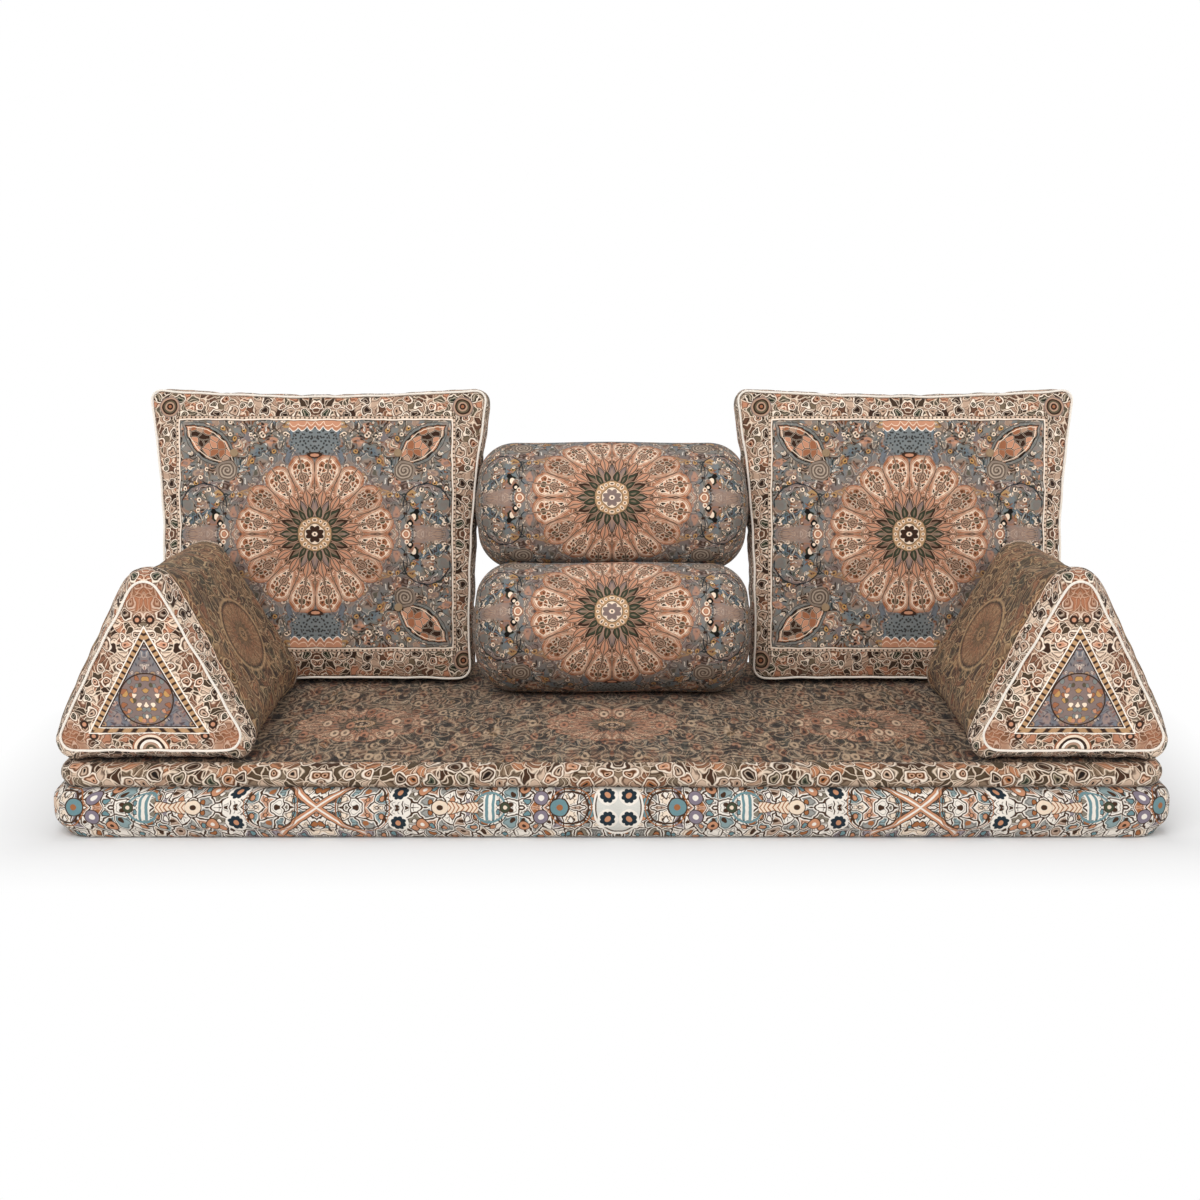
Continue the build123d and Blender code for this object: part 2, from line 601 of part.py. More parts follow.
def make_armrest(side, place):
    front, rear = armrest_ends(0)
    front_hollow, rear_hollow = armrest_ends(FABRIC)
    cavity = armrest_body(FABRIC) + front_hollow + rear_hollow
    front_fill, rear_fill = armrest_ends(COVER_AND_GAP)
    outer = armrest_side_plane()
    pocket = outer * zip_pocket(ARMREST_ZIP_LENGTH)
    name = f"armrest_{side}"
    save(f"{name}_wrap", place(armrest_body(0) - cavity - pocket))
    save(f"{name}_end_panels", place(front - cavity), place(rear - cavity))
    out, ahead = piping_seat(ARMREST_PIPING_TILT)
    rims = [armrest_outline(-ahead, 0.0, 0.0, -out),
            armrest_outline(ARMREST_LENGTH + ahead, 0.0, 1.0, -out)]
    save(f"{name}_piping", *(place(tube_round(rim)) for rim in rims))
    save(f"{name}_foam_core", place(armrest_body(COVER_AND_GAP) + front_fill + rear_fill - pocket))
    save_zip(name, ARMREST_ZIP_LENGTH, lambda shape: place(outer * shape))


def make_armrests():
    lean = math.radians(CUSHION_LEAN)
    out, ahead = piping_seat(CUSHION_PIPING_TILT)
    drop = CUSHION_BOTTOM_SAG + CUSHION_SETTLE + out
    cushion_front_y = (cushion_seat()[1] - (CUSHION_GUSSET / 2 + ahead) * math.cos(lean)
                       - drop * math.sin(lean) - PIPING_RADIUS)
    x = MATTRESS_WIDTH / 2 - ARMREST_SIDE_MARGIN - ARMREST_BODY_WIDTH / 2
    y = cushion_front_y - ARMREST_CUSHION_GAP - ARMREST_BACK_CROWN - ARMREST_LENGTH
    seat = Pos(x, y, SEAT_HEIGHT)
    make_armrest("right", lambda shape: seat * shape)
    make_armrest("left", lambda shape: mirror(seat * shape, about=Plane.YZ))


make_mattress()
make_bolsters()
make_cushions()
make_armrests()
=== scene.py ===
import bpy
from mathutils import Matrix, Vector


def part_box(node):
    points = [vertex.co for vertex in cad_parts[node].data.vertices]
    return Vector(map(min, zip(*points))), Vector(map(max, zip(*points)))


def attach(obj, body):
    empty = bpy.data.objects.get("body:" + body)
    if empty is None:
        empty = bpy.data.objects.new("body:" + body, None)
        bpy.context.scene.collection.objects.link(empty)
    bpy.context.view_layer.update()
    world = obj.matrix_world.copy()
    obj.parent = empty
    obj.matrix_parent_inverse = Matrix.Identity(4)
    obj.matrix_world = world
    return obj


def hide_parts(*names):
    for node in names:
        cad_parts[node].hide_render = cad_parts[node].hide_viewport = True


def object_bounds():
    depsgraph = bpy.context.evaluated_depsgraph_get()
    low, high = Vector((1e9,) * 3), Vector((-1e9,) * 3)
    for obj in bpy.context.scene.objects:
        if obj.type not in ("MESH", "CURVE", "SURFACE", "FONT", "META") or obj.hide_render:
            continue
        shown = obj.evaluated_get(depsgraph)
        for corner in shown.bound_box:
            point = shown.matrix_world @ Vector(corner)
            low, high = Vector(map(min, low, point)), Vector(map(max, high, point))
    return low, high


bl_info = {
    "name": "Majlis floor sofa",
    "version": (1, 0, 0),
    "blender": (4, 5, 0),
    "location": "3D View > Sidebar > Sofa",
    "description": "Makes the stuffed, printed covers of a majlis floor sofa round its fixed construction",
    "category": "Object",
}

import math

import bmesh
import bpy
import numpy as np
from bpy.props import FloatProperty, FloatVectorProperty, IntProperty, PointerProperty
from bpy.types import Operator, Panel, PropertyGroup
from mathutils import Vector

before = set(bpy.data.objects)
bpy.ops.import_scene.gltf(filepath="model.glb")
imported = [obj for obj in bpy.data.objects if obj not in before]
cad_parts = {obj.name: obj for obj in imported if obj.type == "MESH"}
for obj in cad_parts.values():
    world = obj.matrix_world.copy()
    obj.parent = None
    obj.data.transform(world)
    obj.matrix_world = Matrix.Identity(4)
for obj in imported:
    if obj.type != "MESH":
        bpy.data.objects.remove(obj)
CAD_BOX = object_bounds()

SIDES = (("right", 1.0), ("left", -1.0))
TAU = 2 * math.pi

# Cloth and clearances, in metres like every length here
REST_GAP = 0.0003
PADDING_INSET = 0.004
PIPING_OFFSET = 0.0045
CORD_RADIUS = 0.0023
CORD_SLACK = 0.0014
PIPING_SIDES = 10
CROWN_REACH_POWER = 0.8
CROWN_RISE_POWER = 1.25
SHOULDER_RISE_POWER = 1.6
CELL = 0.009
COVER_GROWTH = 0.012
PUCKER_REACH = 0.035
PUCKER_START = 0.008

# Mattress
MATTRESS_CORNER = 0.060
LIP_RADIUS = 0.022
LIP_SETBACK = 0.007
LIP_WRAP = math.radians(55)
BOXING_CROWN_HEIGHT = 0.050
BOTTOM_SEAM_SETBACK = 0.010
BOTTOM_EDGE_RADIUS = 0.014
BAND_PROUD = 0.008
BAND_POWER = 4
SEAM_WANDER = 0.0030
EDGE_WANDER = 0.0018
GATHER_REACH = 0.018
SEAT_BUMPS = 0.0035
MATTRESS_CELL = 0.0105
LIP_RINGS, BAND_RINGS, BOTTOM_RINGS = 12, 10, 4
LIP_SEAM = LIP_RINGS - 1
BAND_SEAM = LIP_SEAM + BAND_RINGS

# Bolsters
BOLSTER_END_RADIUS = 0.075
BOLSTER_CAP_CROWN = 0.006
BOLSTER_GROWTH = 0.004
BOLSTER_SEWN_RING = 6

# Back cushions
CUSHION_WIDTH = 0.597
CUSHION_HEIGHT = 0.536
CUSHION_GUSSET = 0.110
CUSHION_CORNER = 0.022
CUSHION_BACK_CROWN = 0.012
CUSHION_GUSSET_BULGE = 0.008
CUSHION_SETTLE = 0.009
CUSHION_LEAN = math.radians(9.2)
CUSHION_TOP_INNER_FLARE = 0.021
CUSHION_TOP_OUTER_FLARE = 0.025
CUSHION_BOTTOM_OUTER_FLARE = 0.014
CUSHION_BOTTOM_INNER_PRESS = 0.002
CUSHION_TOP_SAG = 0.014
CUSHION_SOFT_FLARE = 0.012
CUSHION_BOTTOM_SAG = 0.002
CUSHION_PIPING_TILT = math.radians(20)
CUSHION_ZIP_LENGTH = 0.420
CUSHION_ZIP_RISE = 0.150
TUFT_SPREAD = 0.160
TUFT_ABOVE = 0.160
TUFT_BELOW = 0.142
TUFT_BUTTON_RADIUS = 0.008
TUFT_SINK = 0.012
TUFT_NEAR = 0.012
TUFT_FAR = 0.040
CUSHION_WAVES = (9, 14, 23, 31)
CUSHION_SEED = 3

# Armrests. Face and body: width, height, lift, corner radius and bulge of the outline
ARMREST_FACE = (0.298, 0.286, 0.028, 0.022, 0.003)
ARMREST_BODY = (0.335, 0.335, 0.0, 0.030, 0.006)
ARMREST_LENGTH = 0.539
ARMREST_SLOPE = 0.36
ARMREST_SHOULDER = 0.045
ARMREST_DROOP = 0.035
ARMREST_FRONT_CROWN = 0.012
ARMREST_BACK_CROWN = 0.008
ARMREST_PIPING_TILT = math.radians(52)
ARMREST_ZIP_LENGTH = 0.320
ARMREST_ZIP_RISE = 0.055

# Zip windows
WINDOW_HALF_WIDTH = 0.0143
WINDOW_DEPTH = 0.006
POCKET_DEPTH = 0.0095
MATTRESS_ZIP_LENGTH = 1.500
BOLSTER_ZIP_LENGTH = 0.380


def linear(code):
    """A colour written as six hexadecimal digits, turned into scene values by the sRGB curve."""
    shares = [int(code[k:k + 2], 16) / 255 for k in (0, 2, 4)]
    return tuple(((c + 0.055) / 1.055) ** 2.4 if c > 0.04045 else c / 12.92 for c in shares)


def colour_property(name, description, code):
    """A colour setting with its default in six hexadecimal digits."""
    return FloatVectorProperty(name=name, description=description, subtype="COLOR", size=3,
                               min=0.0, max=1.0, default=linear(code))


def length_property(name, description, default, most):
    """A setting in metres, from nothing to a limit."""
    return FloatProperty(name=name, description=description, default=default, min=0.0, max=most,
                         unit="LENGTH")


class SofaShape(PropertyGroup):
    """How far the covers swell and how uneven their seams are."""
    front_crown: length_property("Front crown", "How far a back cushion's front stands out", 0.028, 0.06)
    piping_wobble: length_property("Piping wobble", "How far the seams wander", 0.0016, 0.005)
    pucker: length_property("Pucker", "Height of the gathers along the seams", 0.0022, 0.006)
    pressure: FloatProperty(name="Stuffing pressure", description="Pressure that swells the covers",
                            default=4.0, min=0.0, max=12.0)
    swell_limit: length_property("Swell limit", "How far the stuffing may move the cloth", 0.010, 0.03)
    frames: IntProperty(name="Frames", description="Length of the stuffing simulation", default=20, min=2)


class PrintColours(PropertyGroup):
    """The dyes of the printed cloth."""
    warm: colour_property("Field, warm", "Warm grey of the printed field", "918172")
    grey: colour_property("Field, grey", "Cool grey of the printed field", "868884")
    slate: colour_property("Field, slate", "Slate blue of the printed field", "6b7c88")
    mauve: colour_property("Field, mauve", "Mauve of the printed field", "8d7972")
    coral: colour_property("Coral", "Ground of the medallions", "c78d6a")
    clay: colour_property("Clay", "Contours of the medallions", "a4683f")
    cream: colour_property("Cream", "Fine light lines", "eed8c0")
    ivory: colour_property("Ivory", "Ground of the borders", "f1e8dc")
    tan: colour_property("Tan", "Middle tone of the borders", "b5937a")
    brown: colour_property("Brown", "Dark lines", "432b1b")
    black: colour_property("Black brown", "Darkest accents", "18100b")
    ochre: colour_property("Ochre", "Bead bands and small flowers", "c0934f")
    olive: colour_property("Olive", "Leaves", "675c46")
    green: colour_property("Green", "Dark leaves", "434a38")
    navy: colour_property("Navy", "Flowers of the front band", "1d2b34")
    teal: colour_property("Teal", "Leaves of the front band", "6d8e93")
    violet: colour_property("Violet grey", "Lobes of the front band", "857a86")
    shade_seat: colour_property("Seat tint", "Dulls the print of the seat", "d2c7b6")
    shade_side: colour_property("Side tint", "Dulls the print of the armrests' sides", "dcc8a2")
    button: colour_property("Tuft buttons", "Cloth of the tuft buttons", "ab9070")


class StageSettings(PropertyGroup):
    """The camera and the lights."""
    lens: FloatProperty(name="Lens", description="Focal length in mm on a 36 mm sensor", default=58.88)
    eye: FloatVectorProperty(name="Eye", description="Where the camera stands", subtype="TRANSLATION",
                             default=(0.0, -3.5845, 1.0617))
    pitch: FloatProperty(name="Pitch", description="How far the camera looks down", subtype="ANGLE",
                         default=math.radians(11.44))
    key_power: FloatProperty(name="Key light", description="Power of the large soft light", default=112.0)
    fill_power: FloatProperty(name="Fill light", description="Power of the side light", default=25.0)
    ambient: FloatProperty(name="Ambient", description="Strength of the surrounding light", default=0.52)


# Surfaces

def ripple(share, counts, seed):
    """A closed wave round a seam: the mean of sines, each with a whole count of waves and its own phase."""
    phases = np.random.default_rng(seed).random(len(counts))
    waves = [np.sin(TAU * (count * share + phase)) for count, phase in zip(counts, phases)]
    return np.mean(waves, axis=0)


def outline(corners, middles, radius, counts):
    """Points round a closed outline with bowed sides and round corners, anticlockwise from a corner.

    A side is its straight line plus a bow of 4 f (1 - f) times its middle's offset, where f runs from 0
    to 1 along it. Within radius times tan(turn / 2) of a corner it is a cubic curve instead, with the
    handles that make a round of that radius."""
    corners = np.asarray(corners, float)
    spans = np.roll(corners, -1, axis=0) - corners
    bows = np.asarray(middles, float) - corners - spans / 2
    lengths = np.linalg.norm(spans, axis=1)
    headings = spans / lengths[:, None]
    turns = np.arccos(np.clip((np.roll(headings, 1, axis=0) * headings).sum(1), -1, 1))
    reaches = radius * np.tan(turns / 2)
    handles = 4 / 3 * np.tan(turns / 4) / np.tan(turns / 2)
    count = len(corners)

    def on_side(k, f):
        f = np.atleast_1d(f)[:, None]
        return corners[k] + spans[k] * f + 4 * bows[k] * f * (1 - f)

    def on_corner(k, share):
        start = on_side(k - 1, 1 - reaches[k] / lengths[k - 1])[0]
        end = on_side(k, reaches[k] / lengths[k])[0]
        first = start + handles[k] * (corners[k] - start)
        last = end + handles[k] * (corners[k] - end)
        t = share[:, None]
        return ((1 - t) ** 3 * start + 3 * t * (1 - t) ** 2 * first + 3 * t * t * (1 - t) * last
                + t ** 3 * end)

    sides = []
    for k in range(count):
        f = np.arange(counts[k]) / counts[k]
        near = reaches[k] / lengths[k]
        far = reaches[(k + 1) % count] / lengths[k]
        points = on_side(k, f)
        first = on_corner(k, 0.5 + 0.5 * np.clip(f / near, 0, 1))
        last = on_corner((k + 1) % count, 0.5 * np.clip((f - 1 + far) / far, 0, 1))
        points = np.where(f[:, None] < near, first, points)
        sides.append(np.where(f[:, None] > 1 - far, last, points))
    return np.concatenate(sides)


def grown(rim, distance):
    """Moves an anticlockwise outline outwards, square to its own direction at each point."""
    heading = np.roll(rim, -1, axis=0) - np.roll(rim, 1, axis=0)
    heading /= np.linalg.norm(heading, axis=1)[:, None]
    outward = np.stack([heading[:, 1], -heading[:, 0]], axis=1)
    return rim + outward * np.reshape(distance, (-1, 1))


def rim_places(across, up):
    """The row and column in a grid of each point of its rim, anticlockwise from the first corner."""
    columns = np.concatenate([np.arange(across), np.full(up, across), np.arange(across, 0, -1),
                              np.zeros(up, int)])
    rows = np.concatenate([np.zeros(across, int), np.arange(up), np.full(across, up),
                           np.arange(up, 0, -1)])
    return rows, columns


def patch(rim, across, up):
    """Fills a closed rim with a grid: the straight blends between opposite edges, added, less the blend
    of the four corners."""
    rows, columns = rim_places(across, up)
    grid = np.zeros((up + 1, across + 1, rim.shape[1]))
    grid[rows, columns] = rim
    s = np.linspace(0, 1, across + 1)[None, :, None]
    t = np.linspace(0, 1, up + 1)[:, None, None]
    blend = grid[:1] * (1 - t) + grid[-1:] * t + grid[:, :1] * (1 - s) + grid[:, -1:] * s
    corners = ((1 - s) * (1 - t) * grid[0, 0] + s * (1 - t) * grid[0, -1]
               + (1 - s) * t * grid[-1, 0] + s * t * grid[-1, -1])
    return blend - corners


def unit_grid(across, up):
    """The two parameters of a grid, each from -1 to 1."""
    return np.meshgrid(np.linspace(-1, 1, across + 1), np.linspace(-1, 1, up + 1))


def standing(rim, y):
    """An outline in X and Z, stood up at a y."""
    return np.insert(rim, 1, y, axis=1)


def running_length(points, closed=False):
    """How far along a line each of its points lies, and where a closed one ends."""
    if closed:
        points = np.concatenate([points, points[:1]])
    steps = np.linalg.norm(np.diff(points, axis=0), axis=1)
    return np.concatenate([[0], np.cumsum(steps)])


def grid_quads(values):
    """The four corners of each cell of a grid, of its point numbers or of its print coordinates."""
    corners = [values[:-1, :-1], values[:-1, 1:], values[1:, 1:], values[1:, :-1]]
    quads = np.stack(corners, axis=2)
    return quads.reshape((-1, 4) + values.shape[2:])


class Form:
    """A closed surface in the making: points, faces with print coordinates, and a zone for each face."""

    def __init__(self):
        self.points = np.zeros((0, 3))
        self.faces = []
        self.prints = []
        self.zones = []

    def add_points(self, points):
        """Adds points, and gives their numbers in an array of the same shape."""
        first = len(self.points)
        self.points = np.concatenate([self.points, points.reshape(-1, 3)])
        return np.arange(first, len(self.points)).reshape(points.shape[:-1])

    def add_grid(self, index, prints, zone, flip=False):
        """Faces over a grid of point numbers, with print coordinates on the same grid."""
        quads, places = grid_quads(index), grid_quads(prints)
        if flip:
            quads, places = quads[:, ::-1], places[:, ::-1]
        self.faces.extend(quads.tolist())
        self.prints.append(places.reshape(-1, 2))
        self.zones.extend([zone] * len(quads))

    def add_rings(self, index, prints, zone, flip=False):
        """Faces between closed rings of point numbers. The prints have one column more, for the wrap."""
        self.add_grid(np.concatenate([index, index[:, :1]], axis=1), prints, zone, flip)

    def add_fan(self, ring, centre, ring_prints, centre_print, zone, flip=False):
        """A fan of triangles between a closed ring and its middle."""
        after = np.roll(ring, -1)
        order = (0, 2, 1) if flip else (0, 1, 2)
        fan = np.stack([ring, after, np.full(len(ring), centre)], axis=1)[:, order]
        middle = np.broadcast_to(centre_print, (len(ring), 2))
        places = np.stack([ring_prints[:-1], ring_prints[1:], middle], axis=1)[:, order]
        self.faces.extend(fan.tolist())
        self.prints.append(places.reshape(-1, 2))
        self.zones.extend([zone] * len(fan))

    def loops(self):
        """The print coordinates of each face."""
        ends = np.cumsum([len(face) for face in self.faces])[:-1]
        return np.split(np.concatenate(self.prints), ends)

    def trim(self):
        """Drops the points that no face uses, and gives each old point's new number, or -1."""
        used = np.unique(np.concatenate(self.faces))
        number = np.full(len(self.points), -1)
        number[used] = np.arange(len(used))
        self.points = self.points[used]
        self.faces = [number[face].tolist() for face in self.faces]
        return number

    def copy(self):
        """The same form again, with points and lists of its own."""
        made = Form()
        made.points = self.points.copy()
        made.faces = list(self.faces)
        made.prints = list(self.prints)
        made.zones = list(self.zones)
        return made

    def triangles(self):
        """Each face as triangles that share its first corner."""
        return np.array([(face[0], face[k], face[k + 1]) for face in self.faces
                         for k in range(1, len(face) - 1)])

    def normals(self):
        """Each point's outward direction: the sum of its triangles' normals, made one long."""
        corners = self.points[self.triangles()]
        faces = np.cross(corners[:, 1] - corners[:, 0], corners[:, 2] - corners[:, 0])
        sums = np.zeros_like(self.points)
        for k in range(3):
            np.add.at(sums, self.triangles()[:, k], faces)
        return sums / np.maximum(np.linalg.norm(sums, axis=1), 1e-12)[:, None]

    def mirrored(self):
        """The same form on the other side of the YZ plane, with its faces turned round again."""
        made = self.copy()
        made.points[:, 0] *= -1
        made.faces = [face[::-1] for face in self.faces]
        made.prints = [np.concatenate([loop[::-1] for loop in self.loops()])]
        return made

    def mesh(self, name):
        """A mesh of the form, whose zones are its material numbers."""
        mesh = bpy.data.meshes.new(name)
        mesh.from_pydata(self.points.tolist(), [], self.faces)
        layer = mesh.uv_layers.new(name="print")
        layer.data.foreach_set("uv", np.concatenate(self.prints).astype(np.float32).ravel())
        mesh.polygons.foreach_set("material_index", np.array(self.zones, np.int32))
        mesh.polygons.foreach_set("use_smooth", np.ones(len(self.faces), bool))
        mesh.update()
        return mesh


def stuffed(form, shape, pinned, growth):
    """Swells a closed cover with the cloth simulation, and returns its points.

    Pinned points stay, and no point moves further than the swell limit."""
    scene = bpy.context.scene
    mesh = form.mesh("stuffing")
    piece = bpy.data.objects.new("stuffing", mesh)
    scene.collection.objects.link(piece)
    group = piece.vertex_groups.new(name="pinned")
    group.add(np.flatnonzero(pinned).tolist(), 1.0, "REPLACE")
    cloth = piece.modifiers.new("cloth", "CLOTH")
    settings = cloth.settings
    for key, value in {"quality": 5, "mass": 0.3, "tension_stiffness": 15, "compression_stiffness": 15,
                       "shear_stiffness": 5, "bending_stiffness": 0.4, "use_pressure": True,
                       "uniform_pressure_force": shape.pressure, "shrink_min": -growth,
                       "vertex_group_mass": "pinned"}.items():
        setattr(settings, key, value)
    settings.effector_weights.gravity = 0
    cloth.collision_settings.use_collision = False
    for number in range(1, shape.frames + 1):
        scene.frame_set(number)
    settled = piece.evaluated_get(bpy.context.evaluated_depsgraph_get())
    moved = np.zeros(len(form.points) * 3, np.float32)
    settled.data.vertices.foreach_get("co", moved)
    moved = moved.reshape(-1, 3) - form.points
    length = np.linalg.norm(moved, axis=1)[:, None]
    moved *= np.minimum(1, shape.swell_limit / np.maximum(length, 1e-9))
    bpy.data.objects.remove(piece)
    bpy.data.meshes.remove(mesh)
    scene.frame_set(1)
    return form.points + moved


def tube(loop, radius):
    """A closed piping cord: circles of the radius, carried round a loop, square to its direction."""
    axis = np.array([0.0, -1.0, 0.0])
    along = np.roll(loop, -1, axis=0) - np.roll(loop, 1, axis=0)
    along /= np.linalg.norm(along, axis=1)[:, None]
    side = np.cross(along, axis)
    side /= np.linalg.norm(side, axis=1)[:, None]
    upward = np.cross(side, along)
    angles = TAU * np.arange(PIPING_SIDES) / PIPING_SIDES
    rings = (loop[:, None] + radius * (np.cos(angles)[None, :, None] * side[:, None]
                                       + np.sin(angles)[None, :, None] * upward[:, None]))
    around = np.arange(PIPING_SIDES + 1) / PIPING_SIDES
    form = Form()
    index = form.add_points(rings)
    prints = np.stack(np.meshgrid(around, running_length(loop, closed=True)), axis=2)
    form.add_rings(np.concatenate([index, index[:1]]), prints, 0)
    return form


def joined(forms):
    """Several forms as one."""
    whole = Form()
    for form in forms:
        first = len(whole.points)
        whole.points = np.concatenate([whole.points, form.points])
        whole.faces.extend([[number + first for number in face] for face in form.faces])
        whole.prints.extend(form.prints)
        whole.zones.extend(form.zones)
    return whole


def zone_part(form, zones):
    """The faces of some zones as a form of their own, whose zones are numbered as they are listed."""
    part = Form()
    loops = form.loops()
    keep = [k for k, zone in enumerate(form.zones) if zone in zones]
    part.points = form.points
    part.faces = [form.faces[k] for k in keep]
    part.prints = [loops[k] for k in keep]
    part.zones = [zones.index(form.zones[k]) for k in keep]
    part.trim()
    return part


def zip_window(centre, along, outward, length, sign=1):
    """A zip's place on either side: its middle, its direction, the way out and half its slot's length."""
    return ((centre[0] * sign, centre[1], centre[2]), along, (outward[0] * sign, outward[1], outward[2]),
            length / 2 + REST_GAP)


def open_window(mesh, centre, along, outward, half_length):
    """Cuts the slot that shows a zip: the cloth inside it goes, its edge is set straight and turned in,
    down to one plane beside the tapes."""
    centre, along, outward = Vector(centre), Vector(along), Vector(outward)
    across = outward.cross(along)
    form = bmesh.new()
    form.from_mesh(mesh)
    creases = form.edges.layers.float
    crease = creases.get("crease_edge") or creases.new("crease_edge")

    def place(point):
        offset = point - centre
        return offset.dot(along), offset.dot(across), offset.dot(outward)

    def near(point, margin):
        u, v, w = place(point)
        return (abs(u) < half_length + margin and abs(v) < WINDOW_HALF_WIDTH + margin
                and abs(w) < 4 * WINDOW_DEPTH)

    gone = [face for face in form.faces if near(face.calc_center_median(), 0)]
    bmesh.ops.delete(form, geom=gone, context="FACES")
    edges = [edge for edge in form.edges
             if edge.is_boundary and all(near(vert.co, 2 * CELL) for vert in edge.verts)]
    for vert in {vert for edge in edges for vert in edge.verts}:
        u, v, w = place(vert.co)
        runs = [abs((edge.other_vert(vert).co - vert.co).normalized().dot(along)) > 0.7
                for edge in vert.link_edges if edge in edges]
        if any(runs):
            v = math.copysign(WINDOW_HALF_WIDTH, v)
        if not all(runs):
            u = math.copysign(half_length, u)
        vert.co = centre + along * u + across * v + outward * w
    for edge in edges:
        edge[crease] = 1.0
    for item in bmesh.ops.extrude_edge_only(form, edges=edges)["geom"]:
        if isinstance(item, bmesh.types.BMVert):
            item.co -= outward * (place(item.co)[2] + WINDOW_DEPTH)
    form.to_mesh(mesh)
    form.free()


def add_piece(name, mesh, body, replaced, finishes, levels=0):
    """Puts a finished mesh in the scene, on its body, in place of its construction nodes."""
    piece = bpy.data.objects.new(name, mesh)
    bpy.context.scene.collection.objects.link(piece)
    for finish in finishes:
        mesh.materials.append(MATERIALS[finish])
    if levels:
        smooth = piece.modifiers.new("smooth", "SUBSURF")
        smooth.levels = levels
        smooth.render_levels = levels
    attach(piece, body)
    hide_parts(*replaced)


def add_cover(body, form, nodes, cloths, window):
    """A stuffed piece's cover, open where its zip shows."""
    name = f"{body}_cover"
    mesh = form.mesh(name)
    open_window(mesh, *window)
    add_piece(name, mesh, body, [f"{body}_{node}" for node in nodes], cloths, 1)


def add_piping(body, form):
    """The cord in a stuffed piece's seams."""
    name = f"{body}_seam_piping"
    add_piece(name, form.mesh(name), body, [f"{body}_piping"], ["piping_cord"], 1)


def add_padding(name, form, body, slot, node, window):
    """The stuffing inside a cover: the cover drawn in along its own normals, pressed flat under the zip."""
    inner = form.copy()
    inner.points = form.points - form.normals() * PADDING_INSET
    centre, along, outward, half_length = (np.array(value) for value in window)
    offset = inner.points - centre
    u, v, w = offset @ along, offset @ np.cross(outward, along), offset @ outward
    under = ((np.abs(u) < half_length + CELL) & (np.abs(v) < WINDOW_HALF_WIDTH + CELL)
             & (np.abs(w) < 4 * WINDOW_DEPTH))
    inner.points -= np.outer(under * np.maximum(w + POCKET_DEPTH, 0), outward)
    inner.zones = [0] * len(inner.faces)
    add_piece(name, inner.mesh(name), body, [node], [slot])


# Back cushions. Locally X runs across, Z up from the rear bottom seam and Y backwards.

def cushion_counts():
    return round(CUSHION_WIDTH / CELL), round(CUSHION_HEIGHT / CELL)


def cushion_rim(depth_share, flare=CUSHION_SOFT_FLARE):
    """The cushion's outline at a depth, from -1 at the front seam to 1 at the back seam."""
    across, up = cushion_counts()
    swell = CUSHION_GUSSET_BULGE * (1 - depth_share ** 2)
    half = CUSHION_WIDTH / 2 + swell
    low = -swell - CUSHION_SETTLE * (1 - depth_share) / 2
    high = CUSHION_HEIGHT + swell
    corners = [(-half + CUSHION_BOTTOM_INNER_PRESS, low - CUSHION_BOTTOM_SAG),
               (half + CUSHION_BOTTOM_OUTER_FLARE, low - CUSHION_BOTTOM_SAG),
               (half + CUSHION_TOP_OUTER_FLARE, high + CUSHION_TOP_SAG),
               (-half - CUSHION_TOP_INNER_FLARE - flare, high + CUSHION_TOP_SAG)]
    middles = [(0, low), (half, CUSHION_HEIGHT / 2), (0, high), (-half, CUSHION_HEIGHT / 2)]
    return outline(corners, middles, CUSHION_CORNER + swell, (across, up, across, up))


def cushion_seams(seat, wobble, shrink=0.0, flare=CUSHION_SOFT_FLARE):
    """The two piping lines, just outside and beyond the seams."""
    ahead = PIPING_OFFSET * math.sin(CUSHION_PIPING_TILT)
    out = PIPING_OFFSET * math.cos(CUSHION_PIPING_TILT)
    loops = []
    for depth_share in (-1.0, 1.0):
        rim = grown(cushion_rim(depth_share, flare), wobble + out - shrink)
        loops.append(leaned(standing(rim, depth_share * (CUSHION_GUSSET / 2 + ahead - shrink)), seat))
    return loops


def cushion_seat():
    """Where the right cushion's own origin lies: there, its piping fills the construction's own box."""
    low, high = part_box("back_cushion_right_piping")
    loops = np.concatenate(cushion_seams((0.0, 0.0, 0.0), 0.0, flare=0.0))
    return (np.array(low) + np.array(high) - loops.min(axis=0) - loops.max(axis=0)) / 2


def leaned(points, seat):
    """Turns cushion points back by the lean about X, then moves them to the seat."""
    x, y, z = np.moveaxis(np.asarray(points, float), -1, 0)
    sine, cosine = math.sin(CUSHION_LEAN), math.cos(CUSHION_LEAN)
    turned = (x + seat[0], y * cosine + z * sine + seat[1], z * cosine - y * sine + seat[2])
    return np.stack(turned, axis=-1)


def crown_height(s, t):
    """A stuffed crown's share of its height: one less each parameter to the power 2.5, multiplied, then
    raised to half the rise power, so that it stands up steeply at the seams."""
    return ((1 - np.abs(s) ** 2.5) * (1 - np.abs(t) ** 2.5)) ** (CROWN_RISE_POWER / 2)


def tuft_depths(crown):
    """Each tuft's x, z and how far its hollow's bottom stands out of the front seam plane."""
    places = []
    for x in (-TUFT_SPREAD, TUFT_SPREAD):
        for rise in (TUFT_ABOVE, -TUFT_BELOW):
            far = max(abs(x) / (CUSHION_WIDTH / 2), abs(rise) / (CUSHION_HEIGHT / 2))
            turn = math.acos(far ** (1 / CROWN_REACH_POWER))
            depth = crown * math.sin(turn) ** CROWN_RISE_POWER - TUFT_SINK
            places.append((x, CUSHION_HEIGHT / 2 + rise, depth))
    return places


